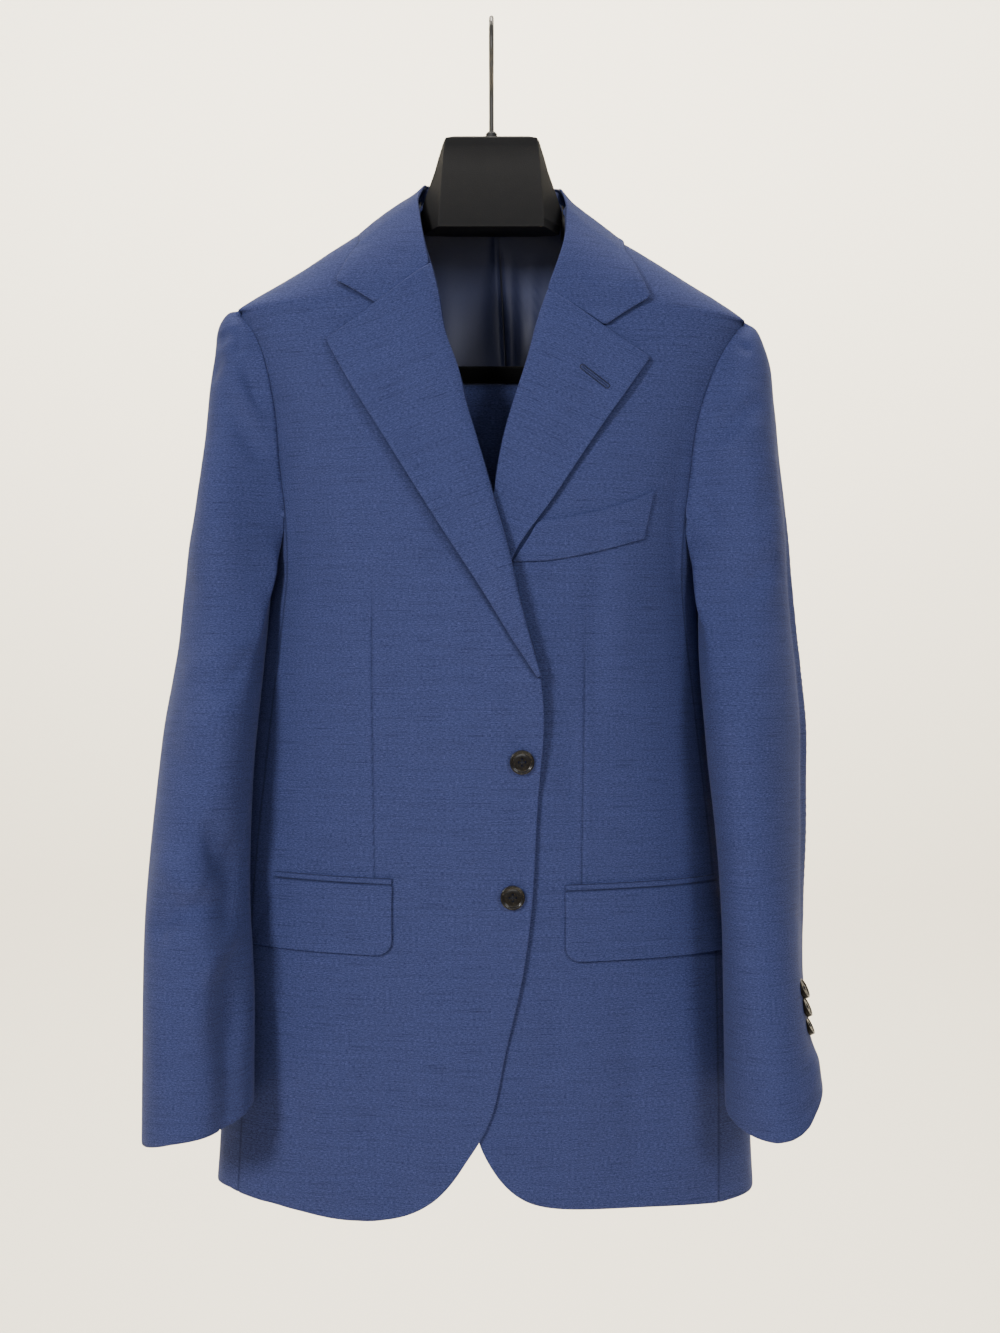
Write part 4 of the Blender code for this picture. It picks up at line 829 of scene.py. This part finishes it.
body_forms = forms_of(PANELS)
body_pieces = finished(PANELS)
for sleeve_name, cut in SLEEVES.items():
    side = RIGHT if sleeve_name.endswith("right") else LEFT
    sleeve = cloth_copy(sleeve_name, fold=86)
    levels, middles = sleeve_axis(side)
    height_of = points_of(sleeve)[:, 2]
    axis = (*(np.interp(height_of, levels, middles[:, i]) for i in (0, 1)), *SLEEVE_DEEP)
    lay_out(sleeve, axis, side * 90 if sleeve_name.startswith("top") else -side * 90)
    crease(sleeve, axis, SLEEVE_CREASES[side], body_forms, SLEEVE_DEPTH)
    if side == RIGHT:
        crease(sleeve, axis, FOREARM_TURN)
    press_down(sleeve, HEAD_DROPS)
    hang_lower(sleeve, CUFF_LEVEL, CUFF_RISE[side], front_only=False)
    close_seam(sleeve, body_pieces, ARMHOLE_FOOT)
    close_seam(sleeve, body_pieces, SHOULDER_FOOT, SHOULDER_REACH)
    dress(sleeve, wool, "blue_wool", sleeve_name)


# ---- lapels, collar and stand ----
# The lapels are the fronts' facings, turned back and rolled, not pressed flat. The collar's fall lies over a
# stand that grips the neck, and it meets each lapel at the gorge seam, above the notch.
# each lapel's word, the degrees that its grain is turned, and its cut
LAPELS = {RIGHT: ("right", 22, (0.100, 0.340, 0.0178)), LEFT: ("left", -24, (0.105, 0.300, 0.0140))}
LAPEL_CREASES = {RIGHT: ((0, 16, 1.1, (-70, -262), (-46, -320), (-14, -392)),
                         (0, 9, -0.6, (-92, -300), (-72, -345), (-44, -392))),
                 LEFT: ((0, 13, 0.9, (66, -270), (46, -318), (26, -372)),
                        (0, 8, -0.5, (88, -300), (70, -340), (48, -378)))}
COLLAR_CREASES = ((0, 4, -0.55, (64, -214), (74, -222), (83, -226)),
                  (0, 4, 0.4, (60, -222), (70, -231), (80, -235)),
                  (0, 5, -0.4, (56, -235), (66, -243), (76, -244)),
                  (0, 6, -0.4, (-66, -190), (-76, -206), (-84, -222)),
                  (180, 9, -0.6, (-38, -150), (-10, -160), (26, -152)))
# how far the collar and the ends of its stand sit lower than their cutting lines: X and drop in mm
COLLAR_DROPS = ((-118, 3.8), (-101, 4.4), (-92, 2.2), (-82, 0.8), (-70, 0), (52, 0), (64, 3.2), (74, 4.4),
                (92, 4.8), (98, 5.6), (114, 4.0))
STAND_DROPS = ((-70, 9), (-46, 8), (-34, 0), (34, 0), (46, 8), (70, 9))
STAND_LEVEL = (0.0, 0.05)        # the whole stand is below this, so its ends move fully
FOLD_SOFT = (16 * MM, 14)        # the collar's tight folds are rounded within this reach, in this many passes


def softened(piece, middles, reach, times):
    """Rounds a piece off around these points, as cloth turns softly where it is folded tight."""
    shape = bmesh.new()
    shape.from_mesh(piece.data)
    near = [v for v in shape.verts if any((v.co - middle).length < reach for middle in middles)]
    for _ in range(times):
        bmesh.ops.smooth_vert(shape, verts=near, factor=0.5, use_axis_x=True, use_axis_y=True,
                              use_axis_z=True)
    shape.to_mesh(piece.data)
    shape.free()


for side, (word, grain_turn, cut) in LAPELS.items():
    lapel_name = "lapel_" + word
    lapel = cloth_copy(lapel_name)
    # painted shade beside the gorge seam
    paint_seam_shade(lapel, forms_of(["collar"]))
    lay_out(lapel, CLOTH_AXIS, 0, grain_turn)
    crease(lapel, CLOTH_AXIS, LAPEL_CREASES[side])
    crease(lapel, CLOTH_AXIS, ROLLED_OFF)
    if side == RIGHT:
        crease(lapel, CLOTH_AXIS, FRONT_ROLL)
    dress(lapel, wool, "blue_wool", lapel_name)

collar = cloth_copy("collar")
# painted shade beside the gorge seam
paint_seam_shade(collar, forms_of(["lapel_right", "lapel_left"]))
lay_out(collar, CLOTH_AXIS, 180)
crease(collar, CLOTH_AXIS, COLLAR_CREASES)
crease(collar, CLOTH_AXIS, ROLLED_OFF)
peaks = [Vector(points_of(collar)[np.argmax(points_of(collar) @ np.array([side * 0.45, -0.35, 0.85]))])
         for side in (LEFT, RIGHT)]
softened(collar, peaks, *FOLD_SOFT)
press_down(collar, COLLAR_DROPS)
dress(collar, wool, "blue_wool", "collar")
stand = cloth_copy("collar_stand")
lay_out(stand, CLOTH_AXIS, 180)
hang_lower(stand, STAND_LEVEL, STAND_DROPS)
dress(stand, wool, "blue_wool", "collar_stand")


# ---- hip pockets and breast welt ----
# A flap hangs from under a narrow jet at each hip. The breast welt is one boat-shaped band, turned and felled
# at its ends. All are faced, so their edges are thick and softly rolled.
JET_DRAWN_IN = 0.82           # the jet's share of its opening's height, once its seams draw it in
JET_SEAM_SHADE = (0.72, 0.7)        # the share of its height above which painted shade marks its upper seam, and how dark
POCKETS = {"flap_right": (0.150, 0.056, 0.0082), "flap_left": (0.150, 0.057, 0.0083),
           "jet_right": (0.150, 0.0100, 0.00108), "jet_left": (0.150, 0.0100, 0.00108),
           "breast_welt": (0.108, 0.036, 0.0032)}
for pocket_name, cut in POCKETS.items():
    pocket = cloth_copy(pocket_name)
    if not pocket_name.startswith("breast"):
        kind, hand = pocket_name.split("_")
        # painted shade where flap and jet meet
        paint_seam_shade(pocket, forms_of([("flap_" if kind == "jet" else "jet_") + hand]))
    lay_out(pocket, CLOTH_AXIS, 0)
    if pocket_name.startswith("jet"):
        points = points_of(pocket)
        middle = np.polyval(np.polyfit(points[:, 0], points[:, 2], 2), points[:, 0])
        above = points[:, 2] - middle
        # painted shade along the jet's upper seam
        add_painted_shade(pocket, JET_SEAM_SHADE[1] * (above > JET_SEAM_SHADE[0] * above.max()))
        points[:, 2] = middle + above * JET_DRAWN_IN
        move_points(pocket, points)
    crease(pocket, CLOTH_AXIS, BODY_CREASES, sleeve_forms, BODY_DEPTH)
    dress(pocket, wool, "blue_wool", pocket_name)


# ---- back lining ----
# Dark satin lines the back from the neck down, with a pleat at its centre for ease and soft upright folds.
LINING_CREASES = ((180, 2.2, 2.4, (-6, -160), (-8, -200), (-11, -262), (-12, -320)),
                  (180, 5, -2.2, (-15, -172), (-17, -230), (-18, -300)),
                  (180, 4.5, 2.2, (-23, -168), (-25, -225), (-23, -290)),
                  (180, 5, -2.0, (-31, -172), (-33, -226), (-31, -300)),
                  (180, 5, 1.8, (-40, -176), (-42, -232), (-39, -300)),
                  (180, 8, -1.4, (-50, -180), (-53, -240), (-50, -300)),
                  (180, 6, -1.3, (-2, -170), (-1, -215), (-3, -260)),
                  (180, 12, 1.3, (14, -180), (17, -245), (14, -320)),
                  (180, 9, -1.2, (34, -176), (36, -240), (33, -320)),
                  (180, 14, 1.2, (60, -190), (66, -260), (62, -340)))
SATIN_DARK = (0.050, 0.061, 0.150, 1)
SATIN_LIGHT = (0.092, 0.108, 0.240, 1)
# painted shade: the colour down in the pleat
SATIN_PLEAT_SHADE = (0.004, 0.005, 0.012, 1)
satin, tree, shader = new_finish("navy_satin_cloth", Specular_IOR_Level=0.5, Sheen_Weight=0.15,
                                 Sheen_Roughness=0.3, Anisotropic=0.5)
cloth = add(tree, "ShaderNodeUVMap", uv_map="cloth").outputs["UV"]
weave = place_group(tree, woven_cloth, {"Threads": 2400.0}, {"Cloth": cloth})
sewn = add(tree, "ShaderNodeAttribute", attribute_name="sewn").outputs["Fac"]
two_blues = mix_colour(tree, weave.outputs["Fleck"], SATIN_DARK, SATIN_LIGHT)
tree.links.new(mix_colour(tree, sewn, two_blues, SATIN_PLEAT_SHADE), shader.inputs["Base Color"])
follow(tree, shader, weave.outputs["Fleck"], 0.48, 0.36)
add_relief(tree, shader, 0.3, 0.0001, weave.outputs["Height"])
PLEAT = ((180, 1.0, -1.0, (5.7, -159), (8, -200), (11.5, -262), (13, -320)),)
PLEAT_SHADE = (0.9 * MM, 0.9)        # half width of its painted shade line, and how dark
lining = cloth_copy("back_lining", rim=60)
finer_along(lining, PLEAT)
lay_out(lining, CLOTH_AXIS, 180)
crease(lining, CLOTH_AXIS, LINING_CREASES)
# painted shade down the pleat's fold
mark_sewn(lining, PLEAT, *PLEAT_SHADE)
dress(lining, satin, "navy_satin", "back_lining")


# ---- lapel buttonhole ----
# A worked hole lies along the top of the wearer's left lapel: a slit between two raised rows of stitches in
# blue silk.
HOLE = ((67.7, -283.3), (86.0, -297.3))      # its ends, X and Z in mm
HOLE_WIDE = 3.4                              # between the two rows
RIM = (0.55, 0.05)                           # radius of the stitched rim and how far it stands off, in mm
SLIT = (0.5, -0.25)                          # the same for the dark slit, which lies sunk
silk, tree, shader = new_finish("blue_buttonhole_silk", Specular_IOR_Level=0.35)
place = add(tree, "ShaderNodeTexCoord").outputs["Object"]
place = add(tree, "ShaderNodeMapping", {"Rotation": (0, math.radians(37), 0)},
            {"Vector": place}).outputs["Vector"]
stitches = add(tree, "ShaderNodeTexWave", {"Scale": 330.0, "Distortion": 1.2, "Detail": 1.0},
               {"Vector": place}, bands_direction="X").outputs["Fac"]
tree.links.new(mix_colour(tree, stitches, (0.010, 0.014, 0.042, 1), (0.032, 0.043, 0.115, 1)),
               shader.inputs["Base Color"])
follow(tree, shader, stitches, 0.75, 0.5)
add_relief(tree, shader, 0.8, 0.0002, stitches)
slit_shade = hard_finish("slit_shade", (0.022, 0.029, 0.078), (0.034, 0.045, 0.12), 400, 2000, 0.95, 0.9,
                         0.0001)


def thread_on(name, line, tree_below, radius, lift, finish, closed=False):
    """A line of thread (X, Z in mm), laid from the front on finished pieces."""
    curve = bpy.data.curves.new(name, "CURVE")
    curve.dimensions = "3D"
    curve.bevel_depth = radius * MM
    curve.bevel_resolution = 2
    spline = curve.splines.new("POLY")
    spline.points.add(len(line) - 1)
    for point, (x, z) in zip(spline.points, line):
        spot = tree_below.ray_cast(Vector((x * MM, -0.3, z * MM)), Vector((0, 1, 0)))[0]
        point.co = (*(spot + Vector((0, -lift * MM, 0))), 1)
    spline.use_cyclic_u = closed
    piece = bpy.data.objects.new(name, curve)
    bpy.context.scene.collection.objects.link(piece)
    only(piece)
    bpy.ops.object.convert(target="MESH")
    piece = bpy.context.object
    for face in piece.data.polygons:
        face.use_smooth = True
    piece.data.materials.clear()
    piece.data.materials.append(finish)
    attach(piece, "root")
    return piece


lapel_face = finished(["lapel_left"])
start, end = (np.array(point) for point in HOLE)
along = (end - start) / np.linalg.norm(end - start)
beside = np.array([-along[1], along[0]])
loop = [middle + (beside * math.cos(t) - along * math.sin(t)) * way * HOLE_WIDE / 2
        for middle, way in ((start, 1), (end, -1)) for t in np.linspace(0, math.pi, 7)]
hole = thread_on("lapel_buttonhole", loop, lapel_face, *RIM, silk, closed=True)
slit = thread_on("lapel_buttonhole_slit", [start, (start + end) / 2, end], lapel_face, *SLIT, slit_shade)


# ---- buttons ----
# Turned brown horn: a raised rim, a groove, and a sunk middle with four holes, where dark thread crosses. The
# front buttons are 18 mm across. The cuff buttons are 15 mm and overlap down each cuff like roof slates.
BUTTON_HALF = 9.0 * MM
BUTTON_HIGH = 3.6 * MM
HOLE_HALF = 0.95 * MM
HOLE_OUT = 2.3 * MM
THREAD_HALF = 0.42 * MM
THREAD_SUNK = 0.55 * MM              # the lower thread's middle, below the button's top; the other crosses it
CUFF_SHARE = 15 / 18
# the rings turned into each face, from the rim inwards: share of the half width, and step in mm
FACE_RINGS = ((0.17, 0.0), (0.06, -0.75), (0.07, 0.0), (0.10, 0.30), (0.28, -0.25))
BACK_RINGS = ((0.22, 0.7),)
HORN = (0.0042, 0.0034, 0.0032)
horn = hard_finish("brown_horn_polished", HORN, (0.012, 0.0080, 0.0066), 230, 900, 0.30, 0.18, 0.00002,
                   stretch=(1, 1, 2.2), Specular_IOR_Level=0.5, Coat_Weight=0.7, Coat_Roughness=0.05)
horn_handled = hard_finish("brown_horn_handled", HORN, (0.009, 0.0062, 0.0054), 230, 900, 0.38, 0.28, 0.00002,
                           stretch=(1, 1, 2.2), Specular_IOR_Level=0.25)
thread_dark = hard_finish("button_thread", (0.010, 0.012, 0.022), (0.020, 0.023, 0.04), 900, 4000, 0.85, 0.7,
                          0.0001)


def ring_in(share, drop):
    """One more ring inside the selected face of the button, let down or raised."""
    bpy.ops.mesh.inset(thickness=share * BUTTON_HALF, use_boundary=True)
    bpy.ops.transform.translate(value=(0, 0, drop * MM))


bpy.ops.object.select_all(action="DESELECT")
bpy.ops.mesh.primitive_cylinder_add(vertices=40, radius=BUTTON_HALF, depth=BUTTON_HIGH,
                                    location=(0, 0, BUTTON_HIGH / 2))
button_model = bpy.context.object
bpy.ops.object.transform_apply(location=True)
bpy.ops.object.mode_set(mode="EDIT")
bpy.ops.mesh.select_mode(type="FACE")
for way, rings in ((1, FACE_RINGS), (-1, BACK_RINGS)):
    bpy.ops.mesh.select_all(action="DESELECT")
    bpy.ops.object.mode_set(mode="OBJECT")
    for face in button_model.data.polygons:
        face.select = face.normal.z * way > 0.9
    bpy.ops.object.mode_set(mode="EDIT")
    for share, drop in rings:
        ring_in(share, drop)
bpy.ops.object.mode_set(mode="OBJECT")
with_modifier(button_model, "BEVEL", width=0.45 * MM, segments=3, limit_method="ANGLE",
              angle_limit=math.radians(38), use_clamp_overlap=True)
for quarter in range(4):
    turn = quarter * math.pi / 2
    spot = Vector((math.cos(turn), math.sin(turn), 0)) * HOLE_OUT
    bpy.ops.object.select_all(action="DESELECT")
    bpy.ops.mesh.primitive_cylinder_add(vertices=14, radius=HOLE_HALF, depth=4 * BUTTON_HIGH, location=spot)
    drill = bpy.context.object
    with_modifier(button_model, "BOOLEAN", operation="DIFFERENCE", object=drill, solver="EXACT")
    bpy.data.objects.remove(drill, do_unlink=True)
smooth_by_angle(button_model, 35)

threads = []
for turn in (0, 90):
    bpy.ops.object.select_all(action="DESELECT")
    bpy.ops.mesh.primitive_cylinder_add(vertices=10, radius=THREAD_HALF, depth=2 * HOLE_OUT,
                                        location=(0, 0, BUTTON_HIGH - THREAD_SUNK + turn / 90 * 0.3 * MM),
                                        rotation=(math.radians(90), 0, math.radians(turn)))
    bpy.ops.object.transform_apply(location=True, rotation=True)
    bpy.ops.object.mode_set(mode="EDIT")
    bpy.ops.mesh.subdivide(number_cuts=5)
    bpy.ops.object.mode_set(mode="OBJECT")
    threads.append(bpy.context.object)
only(threads[0])
threads[1].select_set(True)
bpy.ops.object.join()
thread_model = bpy.context.object
for corner in thread_model.data.vertices:        # the threads dip into their holes
    out = math.hypot(corner.co.x, corner.co.y) / HOLE_OUT
    corner.co.z -= 1.4 * MM * max(0.0, out - 0.55) ** 1.3
smooth_by_angle(thread_model, 60)


def seat_of(name, sewn_out):
    """Where a CAD button lies: the middle of its back and the direction of its face."""
    points = points_of(nodes[name])
    middle = (points.max(axis=0) + points.min(axis=0)) / 2
    _, _, axes = np.linalg.svd(points - points.mean(axis=0), full_matrices=False)
    face = axes[2] if axes[2] @ np.array(sewn_out) > 0 else -axes[2]
    return Vector(middle + face * ((points - middle) @ face).min()), Vector(face)


def settled(seat, face, forms, pieces):
    """The seat, moved as far as the finished cloth under it moved from the frame's."""
    start = seat + face * 0.03
    was, now = forms.ray_cast(start, -face)[0], pieces.ray_cast(start, -face)[0]
    return seat + (now - was) if was and now else seat


# each kind of button: its endings, its share of a front button's width, its horn, the way that it faces, the
# nodes it is sewn to, and how far it sits from its cutting mark in mm
BUTTONS = {"front_button": (("upper", "lower"), 1.0, horn, (0, -1, 0), ["front_right"], (0, 0, 0)),
           "cuff_button_left": ("123", CUFF_SHARE, horn_handled, (1.0, -0.2, 0),
                                ["topsleeve_left", "undersleeve_left"], (-4.2, 0, 2.6)),
           "cuff_button_right": ("123", CUFF_SHARE, horn_handled, (0, 1, 0),
                                 ["topsleeve_right", "undersleeve_right"], (0, 0, 0))}
for kind, (endings, share, horn_here, sewn_out, carriers, off) in BUTTONS.items():
    forms, pieces = forms_of(carriers), finished(carriers)
    for name in (f"{kind}_{ending}" for ending in endings):
        seat, face = seat_of(name, sewn_out)
        seat = settled(seat, face, forms, pieces) + Vector(off) * MM
        place = (Matrix.Translation(seat) @ face.to_track_quat("Z", "Y").to_matrix().to_4x4()
                 @ Matrix.Diagonal((share, share, 1, 1)))
        for model, finish, part in ((button_model, horn_here, "_made"),
                                    (thread_model, thread_dark, "_thread")):
            made = bpy.data.objects.new(name + part, model.data.copy())
            bpy.context.scene.collection.objects.link(made)
            made.data.transform(place)
            made.data.materials.clear()
            made.data.materials.append(finish)
            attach(made, "root")
            if part == "_made":
                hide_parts(name)
for model in (button_model, thread_model):
    bpy.data.objects.remove(model, do_unlink=True)


# ---- floor, wall and lights ----
# A pale floor runs up into a pale wall far behind. A key light stands high at the wearer's right and a weaker
# one at the left, with a faint one straight ahead and a warm wash down the wall.
def emitter(name, place, aim, size, power, colour, spread=180):
    light = bpy.data.lights.new(name, "AREA")
    light.shape = "RECTANGLE"
    light.size, light.size_y = size
    light.energy = power
    light.color = colour
    light.spread = math.radians(spread)
    lamp = bpy.data.objects.new(name, light)
    lamp.location = place
    lamp.rotation_euler = (Vector(aim) - Vector(place)).to_track_quat("-Z", "Y").to_euler()
    bpy.context.scene.collection.objects.link(lamp)


FLOOR_Z = -2.3
WALL_Y = 3.4
COVE = 1.2                   # radius of the bend between them
stage_mesh = bpy.data.meshes.new("backdrop")
backdrop = bpy.data.objects.new("backdrop", stage_mesh)
bpy.context.scene.collection.objects.link(backdrop)
bend = [(WALL_Y - COVE + COVE * math.sin(t), FLOOR_Z + COVE - COVE * math.cos(t))
        for t in (i * math.pi / 24 for i in range(13))]
profile = [(-7.0, FLOOR_Z), *bend, (WALL_Y, 5.0)]
ring = [(x, y, z) for x in (-24.0, 24.0) for y, z in profile]
count = len(profile)
stage_mesh.from_pydata(ring, [], [(i, i + 1, count + i + 1, count + i) for i in range(count - 1)])
for face in stage_mesh.polygons:
    face.use_smooth = True
paper, tree, shader = new_finish("wall_paint", Roughness=0.9)
place = add(tree, "ShaderNodeTexCoord").outputs["Object"]
mottle = add(tree, "ShaderNodeTexNoise", {"Scale": 1.5, "Detail": 3.0}, {"Vector": place})
tree.links.new(mix_colour(tree, mottle.outputs["Fac"], (0.80, 0.745, 0.628, 1), (0.83, 0.78, 0.663, 1)),
               shader.inputs["Base Color"])
stage_mesh.materials.append(paper)

emitter("key", (-1.75, -2.7, 0.42), (0, 0, -0.5), (0.6, 0.6), 55, (1.0, 0.985, 0.96))
emitter("fill", (1.6, -2.8, 0.42), (0, 0, -0.5), (0.7, 0.7), 26, (0.98, 0.985, 1.0))
emitter("room", (0.1, -3.0, -0.15), (0, 0, -0.35), (1.2, 0.9), 5, (1.0, 0.99, 0.97))
emitter("wall_wash", (0, 0.9, 2.5), (0, WALL_Y, -0.9), (5.5, 0.8), 520, (1.0, 0.95, 0.865), 128)
world = bpy.data.worlds.new("room")
world.use_nodes = True
world.node_tree.nodes["Background"].inputs["Color"].default_value = (0.93, 0.92, 0.90, 1)
world.node_tree.nodes["Background"].inputs["Strength"].default_value = 0.22
bpy.context.scene.world = world
